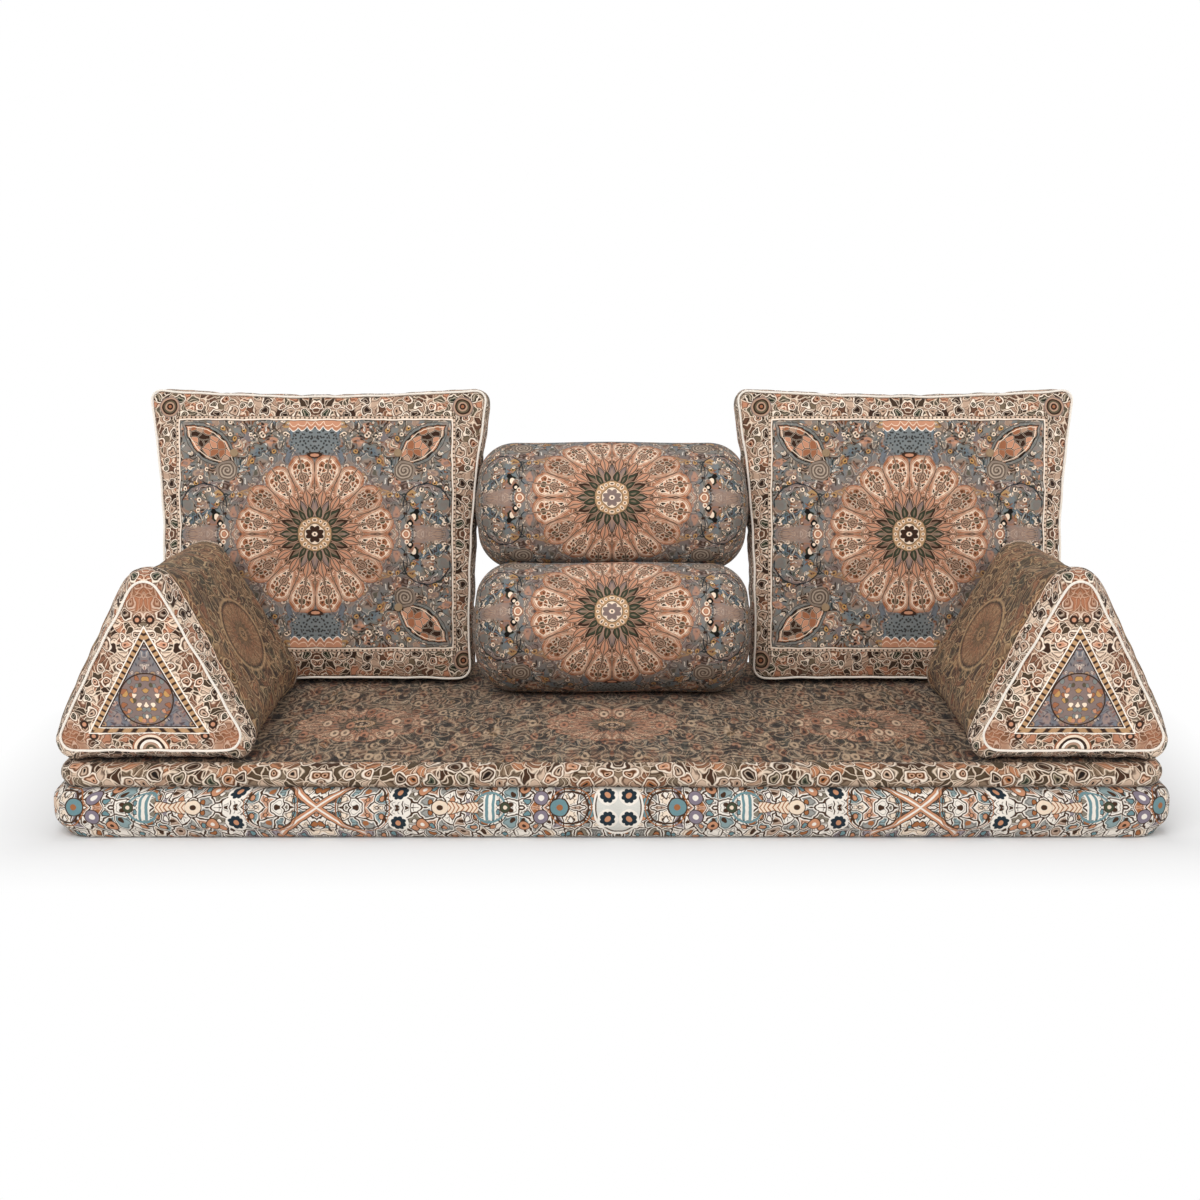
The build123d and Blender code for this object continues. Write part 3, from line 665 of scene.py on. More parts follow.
def cushion_form(shape, seed):
    """A back cushion's closed cover, which of its points are sewn down, its rings and their wobble."""
    across, up = cushion_counts()
    s, t = unit_grid(across, up)
    around = 2 * (across + up)
    share = np.arange(around) / around
    wobble = shape.piping_wobble * ripple(share, CUSHION_WAVES, seed)
    form = Form()
    depth_shares = np.linspace(-1, 1, 12)
    rings = []
    for depth_share in depth_shares:
        rim = grown(cushion_rim(depth_share), wobble * np.abs(depth_share) ** 6)
        rings.append(standing(rim, depth_share * CUSHION_GUSSET / 2))
    rings = np.array(rings)
    index = form.add_points(rings)
    length = np.append(share, 1.0) * 2 * (CUSHION_WIDTH + CUSHION_HEIGHT)
    strip = np.stack(np.meshgrid(length, depth_shares * CUSHION_GUSSET / 2), axis=2)
    form.add_rings(index, strip, 1, flip=True)

    rows, columns = rim_places(across, up)
    sewn = [index[0], index[-1]]
    for ring, crown, front in ((0, shape.front_crown, True), (-1, CUSHION_BACK_CROWN, False)):
        grid = patch(rings[ring], across, up)
        pressed = []
        if front:
            grid[:, :, 1] -= crown * crown_height(s, t)
            for x, z, depth in tuft_depths(crown):
                distance = np.hypot(grid[:, :, 0] - x, grid[:, :, 2] - z)
                bottom = -CUSHION_GUSSET / 2 - depth
                dip = bottom - grid[:, :, 1][np.unravel_index(distance.argmin(), distance.shape)]
                away = np.maximum(distance - TUFT_BUTTON_RADIUS, 0)
                hollow = 0.55 * np.exp(-(away / TUFT_NEAR) ** 2) + 0.45 * np.exp(-(away / TUFT_FAR) ** 2)
                grid[:, :, 1] += dip * hollow
                pressed.append(distance < TUFT_BUTTON_RADIUS + CELL / 2)
        else:
            flat = np.clip(1.8 * crown_height(s, t), 0, 1)
            grid[:, :, 1] += crown * flat * (2 - flat) * 0.999
        numbers = form.add_points(grid)
        numbers[rows, columns] = index[ring]
        prints = grid[:, :, [0, 2]] - (0, CUSHION_HEIGHT / 2)
        form.add_grid(numbers, prints, 0 if front else 2, flip=not front)
        sewn.extend(numbers[under] for under in pressed)
    number = form.trim()
    pinned = np.zeros(len(form.points), bool)
    kept = number[np.unique(np.concatenate(sewn))]
    pinned[kept[kept >= 0]] = True
    return form, pinned, rings, wobble


def seam_pucker(form, rings, shape, seed):
    """Gathers beside the seams: a ripple along the seam that fades with the distance from it."""
    loops = np.concatenate([rings[0], rings[-1]])
    shares = np.tile(np.arange(len(rings[0])) / len(rings[0]), 2)
    offsets = np.zeros(len(form.points))
    block = 2000
    counts = (53, 71, 97, 118)
    for first in range(0, len(form.points), block):
        part = form.points[first:first + block]
        distance = np.linalg.norm(part[:, None] - loops[None], axis=2)
        nearest = distance.argmin(axis=1)
        gap = distance.min(axis=1)
        fade = np.exp(-gap / PUCKER_REACH) * (1 - np.exp(-(gap / PUCKER_START) ** 2))
        offsets[first:first + block] = ripple(shares[nearest], counts, seed) * fade
    return form.points + form.normals() * (offsets * 2 * shape.pucker)[:, None]


class SOFA_OT_back_cushions(Operator):
    """Makes both back cushions: crowned, tufted covers on a gusset, with piping at their seams"""
    bl_idname = "sofa.back_cushions"
    bl_label = "Back cushions"

    def execute(self, context):
        shape = context.scene.sofa_shape
        seat = cushion_seat()
        form, pinned, rings, wobble = cushion_form(shape, CUSHION_SEED)
        form.points = stuffed(form, shape, pinned, COVER_GROWTH)
        back = leaned((0, CUSHION_GUSSET / 2 + CUSHION_BACK_CROWN, CUSHION_ZIP_RISE), seat)
        outward = (0.0, math.cos(CUSHION_LEAN), -math.sin(CUSHION_LEAN))
        for seed, (side, sign) in enumerate(SIDES):
            body = f"back_cushion_{side}"
            cover = form.copy()
            cover.points = leaned(seam_pucker(form, rings, shape, 11 + seed), seat)
            piping = joined([tube(loop, CORD_RADIUS) for loop in cushion_seams(seat, wobble, CORD_SLACK)])
            if sign < 0:
                cover, piping = cover.mirrored(), piping.mirrored()
            window = zip_window(back, (1, 0, 0), outward, CUSHION_ZIP_LENGTH, sign)
            add_cover(body, cover, ["front_panel", "gusset", "back_panel"],
                      ["cushion_cloth", "gusset_cloth", "cushion_cloth"], window)
            add_piping(body, piping)
            add_padding(f"{body}_stuffing", cover, body, "fibre_fill", f"{body}_filling", window)
        return {"FINISHED"}


# Bolsters, turned about the X axis.

def bolster_profile():
    """Distances along X and from the axis, from one end's middle to the other's: a crowned disc, a
    quarter round and half the straight part, then the same mirrored."""
    low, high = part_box("bolster_lower_wrap")
    radius = (high.z - low.z) / 2
    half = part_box("bolster_lower_end_caps")[1].x
    disc = radius - BOLSTER_END_RADIUS
    spots = np.linspace(0.08, 1, 7)[:-1]
    ends = [np.stack([half + BOLSTER_CAP_CROWN * (1 - spots ** 2), disc * spots], axis=1)]
    turn = np.linspace(0, math.pi / 2, 15)[:-1]
    ends.append(np.stack([half - BOLSTER_END_RADIUS * (1 - np.cos(turn)),
                          disc + BOLSTER_END_RADIUS * np.sin(turn)], axis=1))
    straight = np.linspace(half - BOLSTER_END_RADIUS, 0, 23)
    ends.append(np.stack([straight, np.full(len(straight), radius)], axis=1))
    right = np.concatenate(ends)
    left = right[-2::-1] * (-1, 1)
    return np.concatenate([right, left]), radius, half


def bolster_form(shape, turn, seed):
    """A bolster's closed cover about its own axis, and which of its points are sewn down.

    A point is the profile's distance along X, and its radius turned about X, where the angle is zero
    towards -Y and grows upwards. The print's middle is turned up by an angle."""
    profile, radius, half = bolster_profile()
    around = round(TAU * radius / CELL)
    angles = TAU * np.arange(around) / around - math.pi
    along = running_length(profile)
    along = along[-1] / 2 - along
    gather = np.exp(-((profile[:, 1] / radius - 0.72) / 0.22) ** 2) * (np.abs(profile[:, 0]) > half / 2)
    waves = ripple(angles / TAU, (19, 26, 37), seed) + 0.4 * ripple(angles / TAU, (51, 64), seed + 1)
    pull = 0.0013 * gather[:, None] * waves[None]
    slow = 0.0012 * np.sin(profile[:, :1] * 21 + 2 * np.sin(angles)[None] + seed)
    reach = profile[:, 1:] + pull + slow * np.minimum(profile[:, 1:] / radius, 1)
    points = np.stack([np.broadcast_to(profile[:, :1], reach.shape), -reach * np.cos(angles)[None],
                       reach * np.sin(angles)[None]], axis=2)
    form = Form()
    index = form.add_points(points)
    wrap = np.append(angles, math.pi)
    prints = np.stack(np.meshgrid((wrap - turn) * radius, along), axis=2)[:, :, ::-1]
    form.add_rings(index, prints, 0)
    tips = form.add_points(np.array([[half + BOLSTER_CAP_CROWN, 0, 0], [-half - BOLSTER_CAP_CROWN, 0, 0]]))
    middle = np.array([along[0] + profile[0, 1], 0.0])
    form.add_fan(index[0], tips[0], prints[0], middle, 0, flip=True)
    form.add_fan(index[-1], tips[1], prints[-1], -middle, 0)
    pinned = np.zeros(len(form.points), bool)
    pinned[index[[BOLSTER_SEWN_RING, -1 - BOLSTER_SEWN_RING]]] = True
    return form, pinned


class SOFA_OT_bolsters(Operator):
    """Makes both bolsters: round covers with large soft ends, pressed flat where they rest"""
    bl_idname = "sofa.bolsters"
    bl_label = "Bolsters"

    def execute(self, context):
        shape = context.scene.sofa_shape
        axes = {}
        for name in ("bolster_lower", "bolster_upper"):
            low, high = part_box(f"{name}_wrap")
            axes[name] = (low + high) / 2
        radius = (high.z - low.z) / 2
        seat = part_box("mattress_top_panel")[1].z + REST_GAP
        between = axes["bolster_upper"] - axes["bolster_lower"]
        meeting = (axes["bolster_upper"] + axes["bolster_lower"]) / 2
        for seed, (name, turn) in enumerate((("bolster_lower", 26), ("bolster_upper", 16))):
            form, pinned = bolster_form(shape, math.radians(turn), 5 + seed)
            form.points = stuffed(form, shape, pinned, BOLSTER_GROWTH)
            form.points += np.array(axes[name])
            form.points[:, 2] = np.maximum(form.points[:, 2], seat)
            sign = 1 if name == "bolster_upper" else -1
            normal = np.array(between.normalized()) * sign
            past = (form.points - np.array(meeting)) @ normal - REST_GAP / 2
            form.points -= np.minimum(past, 0)[:, None] * normal
            back = (axes[name].x, axes[name].y + radius, axes[name].z)
            window = zip_window(back, (1, 0, 0), (0, 1, 0), BOLSTER_ZIP_LENGTH)
            add_cover(name, form, ["wrap", "end_caps"], ["bolster_cloth"], window)
            add_padding(f"{name}_stuffing", form, name, "fibre_fill", f"{name}_filling", window)
        return {"FINISHED"}


# Armrests. Locally X runs across, Y backwards from the front seam, Z up from the seat.

def armrest_counts():
    slope = round(ARMREST_SLOPE / CELL)
    return round(ARMREST_BODY[0] / CELL), slope, slope


def armrest_rim(growth, droop_share):
    """The armrest's outline: a triangle with bulging sides and round corners, between face and body."""
    width, height, lift, radius, bulge = (a + (b - a) * growth for a, b in zip(ARMREST_FACE, ARMREST_BODY))
    height -= ARMREST_DROOP * droop_share
    half, inner, base = width / 2 - radius, height - 2 * radius, lift + radius
    lean = math.atan2(half, inner)
    foot = half + radius / math.tan((math.pi / 2 - lean) / 2)
    low, apex = base - radius, base + inner + radius / math.sin(lean)
    out = bulge + radius
    side = (half / 2 + out * math.cos(lean), base + inner / 2 + out * math.sin(lean))
    corners = [(-foot, low), (foot, low), (0, apex)]
    middles = [(0, low), side, (-side[0], side[1])]
    return outline(corners, middles, radius, armrest_counts())


def crown_steps(count):
    """Angles of a crown's rings, evenly spread, without its middle."""
    return np.linspace(0, math.pi / 2, count + 1)[:-1]


def armrest_rings(shape, seed):
    """The rings from the front face's middle to the rear face's, the numbers of the seam rings, and the
    seams' wobble."""
    rings = []
    around = sum(armrest_counts())
    share = np.arange(around) / around
    wobble = shape.piping_wobble * ripple(share, (5, 9, 14, 17), seed)

    def ring(y, growth, droop_share, scale=1.0, edge=0.0):
        rim = armrest_rim(growth, droop_share)
        middle = rim.mean(axis=0)
        rim = grown(rim, wobble * edge)
        rim = middle + (rim - middle) * scale
        rings.append(standing(rim, y))

    caps = crown_steps(14)[::-1]
    for turn in caps:
        reach = math.cos(turn) ** CROWN_REACH_POWER
        ring(-ARMREST_FRONT_CROWN * math.sin(turn) ** CROWN_RISE_POWER, 0.0, 0.0, reach, reach ** 4)
    front_seam = len(rings) - 1
    shoulder = np.linspace(0, math.pi / 2, 9)[1:]
    for turn in shoulder:
        y = ARMREST_SHOULDER * (1 - max(math.cos(turn), 0) ** CROWN_REACH_POWER)
        ring(y, math.sin(turn) ** SHOULDER_RISE_POWER, 0.0)
    straight = ARMREST_LENGTH - 2 * ARMREST_SHOULDER
    for part in np.linspace(0, 1, round(straight / CELL))[1:-1]:
        ring(ARMREST_SHOULDER + straight * part, 1.0, part)
    for turn in shoulder[::-1]:
        y = ARMREST_LENGTH - ARMREST_SHOULDER * (1 - max(math.cos(turn), 0) ** CROWN_REACH_POWER)
        ring(y, math.sin(turn) ** SHOULDER_RISE_POWER, 1.0)
    rear_seam = len(rings)
    for turn in caps[::-1]:
        reach = math.cos(turn) ** CROWN_REACH_POWER
        ring(ARMREST_LENGTH + ARMREST_BACK_CROWN * math.sin(turn) ** CROWN_RISE_POWER, 0.0, 1.0, reach,
             reach ** 4)
    return np.array(rings), front_seam, rear_seam, wobble


def armrest_form(shape, seed):
    """An armrest's closed cover, which of its points are sewn down, its seam rings and their wobble."""
    rings, front_seam, rear_seam, wobble = armrest_rings(shape, seed)
    form = Form()
    index = form.add_points(rings)
    flat = np.concatenate([rings[:, :, [0, 2]], rings[:, :1, [0, 2]]], axis=1)
    length = running_length(armrest_rim(1.0, 0.5), closed=True)
    apex = length[sum(armrest_counts()[:2])]
    wrap = np.stack(np.meshgrid(length - apex, rings[:, 0, 1]), axis=2)
    form.add_rings(index[:front_seam + 1], flat[:front_seam + 1], 1, flip=True)
    form.add_rings(index[front_seam:rear_seam + 1], wrap[front_seam:rear_seam + 1], 0, flip=True)
    form.add_rings(index[rear_seam:], flat[rear_seam:], 1, flip=True)
    tips = form.add_points(np.array([rings[0].mean(axis=0), rings[-1].mean(axis=0)]))
    form.points[tips[0], 1] = -ARMREST_FRONT_CROWN
    form.points[tips[1], 1] = ARMREST_LENGTH + ARMREST_BACK_CROWN
    form.add_fan(index[0], tips[0], flat[0], rings[0][:, [0, 2]].mean(axis=0), 1)
    form.add_fan(index[-1], tips[1], flat[-1], rings[-1][:, [0, 2]].mean(axis=0), 1, flip=True)
    pinned = np.zeros(len(form.points), bool)
    seams = [front_seam, rear_seam]
    pinned[index[seams]] = True
    return form, pinned, rings[seams], wobble


def armrest_seat():
    """Where the right armrest's own origin lies."""
    low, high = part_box("armrest_right_wrap")
    return (low.x + high.x) / 2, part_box("armrest_right_end_panels")[0].y + ARMREST_FRONT_CROWN, low.z


def armrest_zip_place():
    """The middle and the outward direction of the zip, low on the outer side."""
    width, height, lift, radius, bulge = ARMREST_BODY
    height -= ARMREST_DROOP / 2
    half, inner, base = width / 2 - radius, height - 2 * radius, lift + radius
    lean = math.atan2(half, inner)
    share = ARMREST_ZIP_RISE / math.hypot(half, inner)
    out = radius + bulge * (1 - (2 * share - 1) ** 2)
    normal = (math.cos(lean), 0.0, math.sin(lean))
    x = half * (1 - share) + out * normal[0]
    z = base + inner * share + out * normal[2]
    return (x, ARMREST_LENGTH / 2, z), normal


class SOFA_OT_armrests(Operator):
    """Makes both armrests: stuffed wedges with crowned end panels and piping at their end seams"""
    bl_idname = "sofa.armrests"
    bl_label = "Armrests"

    def execute(self, context):
        shape = context.scene.sofa_shape
        seat = np.array(armrest_seat())
        form, pinned, seams, wobble = armrest_form(shape, 21)
        form.points = stuffed(form, shape, pinned, COVER_GROWTH)
        centre, outward = armrest_zip_place()
        ahead = PIPING_OFFSET * math.sin(ARMREST_PIPING_TILT) - CORD_SLACK
        out = PIPING_OFFSET * math.cos(ARMREST_PIPING_TILT) - CORD_SLACK / 2
        for seed, (side, sign) in enumerate(SIDES):
            body = f"armrest_{side}"
            cover = form.copy()
            cover.points = seam_pucker(form, seams, shape, 41 + seed)
            cover.points[:, 2] = np.maximum(cover.points[:, 2], 0.0)
            cover.points += seat
            piping = joined([tube(standing(grown(armrest_rim(0.0, droop_share), wobble + out), y) + seat,
                                  CORD_RADIUS)
                             for y, droop_share in ((-ahead, 0.0), (ARMREST_LENGTH + ahead, 1.0))])
            if sign < 0:
                cover, piping = cover.mirrored(), piping.mirrored()
            window = zip_window(np.array(centre) + seat, (0, 1, 0), outward, ARMREST_ZIP_LENGTH, sign)
            add_cover(body, cover, ["wrap", "end_panels"], ["armrest_cloth", "armrest_end_cloth"],
                      window)
            add_piping(body, piping)
            add_padding(f"{body}_wedge", cover, body, "foam", f"{body}_foam_core", window)
        return {"FINISHED"}


# Mattress

def mattress_counts():
    return round(2 * CAD_BOX[1].x / MATTRESS_CELL), round(2 * CAD_BOX[1].y / MATTRESS_CELL)


def mattress_rim(setback):
    """The mattress outline, drawn in by a setback."""
    across, up = mattress_counts()
    half_x, half_y = CAD_BOX[1].x - setback, CAD_BOX[1].y - setback
    corners = [(-half_x, -half_y), (half_x, -half_y), (half_x, half_y), (-half_x, half_y)]
    middles = [(0, -half_y), (half_x, 0), (0, half_y), (-half_x, 0)]
    return outline(corners, middles, MATTRESS_CORNER - setback, (across, up, across, up))


def mattress_profile():
    """The side's section from the top to the bottom as setback, height and zone, in steps of a turn."""
    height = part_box("mattress_top_panel")[1].z
    spots = []
    lip = (LIP_SETBACK + LIP_RADIUS, height - LIP_RADIUS)
    for turn in np.linspace(math.pi / 2, -LIP_WRAP, LIP_RINGS):
        spots.append((lip[0] - LIP_RADIUS * math.cos(turn), lip[1] + LIP_RADIUS * math.sin(turn), 0))
    seam = spots[-1]
    edge = (BOTTOM_SEAM_SETBACK, BOTTOM_EDGE_RADIUS)
    for share in np.linspace(0, 1, BAND_RINGS + 1)[1:]:
        z = seam[1] + (edge[1] - seam[1]) * share
        if z > BOXING_CROWN_HEIGHT:
            far, from_z = seam[0], seam[1]
        else:
            far, from_z = edge[0], edge[1]
        out = ((z - BOXING_CROWN_HEIGHT) / (from_z - BOXING_CROWN_HEIGHT)) ** BAND_POWER
        spots.append((far * out, z, 1))
    for turn in np.linspace(0, math.pi / 2, BOTTOM_RINGS + 1)[1:]:
        spots.append((edge[0] + BOTTOM_EDGE_RADIUS * (1 - math.cos(turn)),
                      edge[1] * (1 - math.sin(turn)), 2))
    return spots


def mattress_form(shape):
    """The mattress's closed cover. Its zones are the lip, the band, the rounded bottom edge, the top and
    the bottom."""
    across, up = mattress_counts()
    around = 2 * (across + up)
    share = np.arange(around) / around
    waves = ripple(share, (41, 67, 93, 131), 7)
    slow = ripple(share, (7, 11, 19), 8)
    wander = ripple(share, (37, 51, 74), 9)
    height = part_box("mattress_top_panel")[1].z
    rings = []
    spots = mattress_profile()
    seam_setback, seam_height = spots[LIP_SEAM][:2]
    for setback, z, zone in spots:
        seam_gap = abs(z - seam_height)
        stir = math.exp(-seam_gap / GATHER_REACH) if zone < 2 else 0.0
        stir *= 0.25 + 0.75 * min(1.0, seam_gap / PUCKER_START)
        settled = min(1.0, z / 0.02) * (zone < 2) * (z < height)
        rim = grown(mattress_rim(setback), shape.pucker * stir * waves + EDGE_WANDER * slow * settled)
        if zone == 1:
            rim[:, 0] *= 1 + BAND_PROUD / CAD_BOX[1].x * min(1.0, (seam_setback - setback) / seam_setback)
        rings.append(np.concatenate([rim, z + (SEAM_WANDER * stir * wander)[:, None]], axis=1))
    rings = np.array(rings)
    form = Form()
    index = form.add_points(rings)
    length = running_length(mattress_rim(0), closed=True)
    levels = running_length(np.array(spots)[:, :2])
    prints = np.stack(np.meshgrid(length - length[across // 2], levels - levels[LIP_SEAM]), axis=2)
    for zone, (first, last) in enumerate(((0, LIP_SEAM), (LIP_SEAM, BAND_SEAM), (BAND_SEAM, len(spots)))):
        form.add_rings(index[first:last + 1], prints[first:last + 1], zone, flip=True)
    rows, columns = rim_places(across, up)
    for ring, zone, down in ((0, 3, False), (-1, 4, True)):
        grid = patch(rings[ring], across, up)
        if not down:
            x, y = grid[:, :, 0], grid[:, :, 1]
            free = (1 / (1 + np.exp((np.abs(x) - 0.56) / 0.02))) / (1 + np.exp((y + 0.03) / 0.02))
            edge = np.clip((CAD_BOX[1].y - LIP_SETBACK - LIP_RADIUS - np.abs(y)) / 0.05, 0, 1)
            bumps = 0.5 + 0.3 * np.sin(9 * x + 1.3) * np.sin(14 * y) + 0.2 * np.sin(23 * x + 17 * y)
            grid[:, :, 2] += SEAT_BUMPS * free * edge * bumps
        numbers = form.add_points(grid)
        numbers[rows, columns] = index[ring]
        form.add_grid(numbers, grid[:, :, :2], zone, flip=down)
    form.trim()
    return form


class SOFA_OT_mattress(Operator):
    """Makes the mattress: a top panel with a rolled lip, the printed band round it and the bottom panel"""
    bl_idname = "sofa.mattress"
    bl_label = "Mattress"

    def execute(self, context):
        form = mattress_form(context.scene.sofa_shape)
        rear = (0, CAD_BOX[1].y, BOXING_CROWN_HEIGHT)
        window = zip_window(rear, (1, 0, 0), (0, 1, 0), MATTRESS_ZIP_LENGTH)
        add_padding("mattress_foam", form, "mattress", "foam", "mattress_foam_core", window)
        for name, node, slot, zones, cloths in (
                ("mattress_lid", "mattress_top_panel", "mattress_cloth", (0, 3),
                 ("lip_cloth", "mattress_cloth")),
                ("mattress_band", "mattress_boxing", "border_cloth", (1,), ("boxing_cloth",)),
                ("mattress_base", "mattress_bottom_panel", "lining_cloth", (2, 4),
                 ("boxing_cloth", "lining_cloth"))):
            mesh = zone_part(form, zones).mesh(name)
            if name == "mattress_band":
                open_window(mesh, *window)
            levels = 1 if name != "mattress_base" else 0
            add_piece(name, mesh, "mattress", [node], cloths, levels)
        return {"FINISHED"}


# Finishes. Every print is drawn by nodes, in metres, on the print coordinates of its cloth.

MATERIALS = {}
SOFT = 0.0004
# Width of the painted shade, laid in black on both sides of the crease between lip and band
SEAM_PAINTED_SHADE = 0.009
MIDDLE_TONE = 0.32
CONTRAST = 1.16
NAP_HEIGHT = 0.0006
PRINT_RISE = 0.002
BAND_REPEAT = 0.507
BAND_SHIFT = 0.016
LIGHTS_AIM = Vector((0, 0, 0.3))


class Wire:
    """A value in a node tree. Python's own operators on it add Math nodes."""

    def __init__(self, net, socket):
        self.net, self.socket = net, socket

    def math(self, operation, *others):
        return self.net.add("ShaderNodeMath", enumerate((self,) + others), operation=operation)

    def __add__(self, other):
        return self.math("ADD", other)

    def __sub__(self, other):
        return self.math("SUBTRACT", other)

    def __rsub__(self, other):
        return self.net.add("ShaderNodeMath", {0: other, 1: self}, operation="SUBTRACT")

    def __mul__(self, other):
        return self.math("MULTIPLY", other)

    def __truediv__(self, other):
        return self.math("DIVIDE", other)

    def __pow__(self, other):
        return self.math("POWER", other)

    __radd__, __rmul__ = __add__, __mul__

    def size(self):
        return self.math("ABSOLUTE")

    def most(self, other):
        return self.math("MAXIMUM", other)

    def least(self, other):
        return self.math("MINIMUM", other)

    def sine(self):
        return self.math("SINE")

    def step(self):
        """Runs 0 to 1 within each whole step."""
        return self.math("FRACT")

    def swing(self):
        """The distance from the middle of each whole step, 0 to a half."""
        return (self.step() - 0.5).size()

    def fold(self, length):
        """Runs 0 up to a length and back again, so that a print mirrors itself."""
        return self.math("PINGPONG", length)

    def over(self, low, high):
        """0 below low, 1 above high, straight between; the other way round where low is above high."""
        return self.net.add("ShaderNodeMapRange", enumerate((self, low, high, 0.0, 1.0)), clamp=True)

    def within(self, edge, soft=SOFT):
        """1 below an edge, 0 above it."""
        return self.over(edge + soft, edge - soft)

    def band(self, low, high, soft=SOFT):
        """1 between two limits."""
        return (self - (low + high) / 2).size().within((high - low) / 2, soft)


class Net:
    """A node tree being filled, and the colour of its print so far. Its methods add nodes to it."""

    def __init__(self, tree):
        self.tree = tree
        self.colour = None

    def feed(self, slot, value):
        """Links a value to an input, or sets the input to a number or a colour."""
        if isinstance(value, Wire):
            self.tree.links.new(value.socket, slot)
        else:
            slot.default_value = (*value, 1) if slot.type == "RGBA" else value

    def fill(self, node, inputs):
        """Feeds inputs of a node by their names or numbers."""
        for slot, value in dict(inputs).items():
            self.feed(node.inputs[slot], value)
        return node

    def node(self, kind, inputs=(), **settings):
        made = self.tree.nodes.new(kind)
        for key, value in settings.items():
            setattr(made, key, value)
        return self.fill(made, inputs)

    def out(self, node, name=0):
        return Wire(self, node.outputs[name])

    def add(self, kind, inputs=(), output=0, **settings):
        """One output of a new node."""
        return self.out(self.node(kind, inputs, **settings), output)

    def join(self, x, y):
        return self.add("ShaderNodeCombineXYZ", {0: x, 1: y})

    def parts(self, vector):
        """The x and y of a vector."""
        node = self.node("ShaderNodeSeparateXYZ", {0: vector})
        return self.out(node, 0), self.out(node, 1)

    def vector(self, operation, first, second):
        return self.add("ShaderNodeVectorMath", {0: first, 1: second}, operation=operation)

    def stretch(self, vector, x, y):
        return self.vector("MULTIPLY", vector, (x, y, 0.0))

    def length(self, vector):
        return self.add("ShaderNodeVectorMath", {0: vector}, 1, operation="LENGTH")

    def distance(self, vector, x, y):
        return self.add("ShaderNodeVectorMath", {0: vector, 1: (x, y, 0.0)}, 1, operation="DISTANCE")

    def oval(self, x, y, wide, high):
        """The distance from the middle of an oval, which is 1 on the oval itself."""
        return self.length(self.join(x / wide, y / high))

    def angle(self, x, y):
        return y.math("ARCTAN2", x)

    def noise(self, vector, scale, detail=1.0):
        """Smooth noise, as a value and as a colour."""
        node = self.node("ShaderNodeTexNoise", {"Vector": vector, "Scale": scale, "Detail": detail},
                         noise_dimensions="2D")
        return self.out(node, 0), self.out(node, 1)

    def cells(self, vector, scale, randomness=1.0):
        """The distance from the nearest cell's point, and a random colour of each cell."""
        inputs = {"Vector": vector, "Scale": scale, "Randomness": randomness}
        node = self.node("ShaderNodeTexVoronoi", inputs, voronoi_dimensions="2D")
        return self.out(node, 0), self.out(node, 1)

    def cell_edge(self, vector, scale):
        """The distance from the edge between cells."""
        return self.add("ShaderNodeTexVoronoi", {"Vector": vector, "Scale": scale},
                        voronoi_dimensions="2D", feature="DISTANCE_TO_EDGE")

    def channels(self, colour):
        """The red and green of a colour."""
        node = self.node("ShaderNodeSeparateColor", {0: colour})
        return self.out(node, 0), self.out(node, 1)

    def warp(self, vector, scale, reach):
        """The vector moved by noise, up to half a reach each way."""
        shift = self.vector("SUBTRACT", self.noise(vector, scale)[1], (0.5, 0.5, 0.5))
        return self.vector("ADD", vector, self.stretch(shift, reach, reach))

    def mix(self, base, colour, mask):
        """The base, with a colour laid over it where the mask is."""
        return self.add("ShaderNodeMix", {"Factor": mask, "A": base, "B": colour}, "Result",
                        data_type="RGBA")

    def lay(self, colour, mask):
        """Lays a colour over the print where the mask is."""
        self.colour = self.mix(self.colour, colour, mask)

    def dyed(self, tint):
        """The print's colour times a tint."""
        return self.add("ShaderNodeMix", {"Factor": 1.0, "A": self.colour, "B": tint}, "Result",
                        data_type="RGBA", blend_type="MULTIPLY")

    def ramp(self, value, stops, steps=False):
        """A colour for each value, between stops or in steps."""
        node = self.node("ShaderNodeValToRGB", {0: value})
        node.color_ramp.interpolation = "CONSTANT" if steps else "LINEAR"
        points = node.color_ramp.elements
        while len(points) < len(stops):
            points.new(1.0)
        for point, (spot, colour) in zip(points, stops):
            point.position = spot
            point.color = (*colour, 1)
        return self.out(node)

    def tones(self, value, colours):
        """Picks one of several colours, each for an equal share of the values from 0 to 1."""
        return self.ramp(value, [(k / len(colours), colour) for k, colour in enumerate(colours)], True)

    def group(self, name, vector, *values):
        """The outputs of a node group, used on a vector and some values."""
        tree = bpy.data.node_groups[name]
        node = self.node("ShaderNodeGroup", enumerate((vector,) + values), node_tree=tree)
        return [self.out(node, k) for k in range(len(node.outputs))]

    def lobes(self, radius, angle, count, shift=0.0):
        """Coordinates in one of several equal sectors: sideways from its middle line, and outwards."""
        sector = ((angle * (count / TAU) + shift).step() - 0.5) * (TAU / count)
        return radius * sector.sine(), radius * sector.math("COSINE")


def group_net(name, values, results):
    """A node group with a vector input, some more values, and its results; gives its net and inputs."""
    tree = bpy.data.node_groups.new(name, "ShaderNodeTree")
    tree.interface.new_socket("Vector", in_out="INPUT", socket_type="NodeSocketVector")
    for value, kind in values:
        tree.interface.new_socket(value, in_out="INPUT", socket_type=kind)
    for result, kind in results:
        tree.interface.new_socket(result, in_out="OUTPUT", socket_type=kind)
    net = Net(tree)
    source = net.node("NodeGroupInput")
    return net, [net.out(source, k) for k in range(len(values) + 1)]


def finish_group(net, *results):
    """Puts results out of a node group."""
    net.node("NodeGroupOutput", enumerate(results))


COLOUR, VALUE = "NodeSocketColor", "NodeSocketFloat"


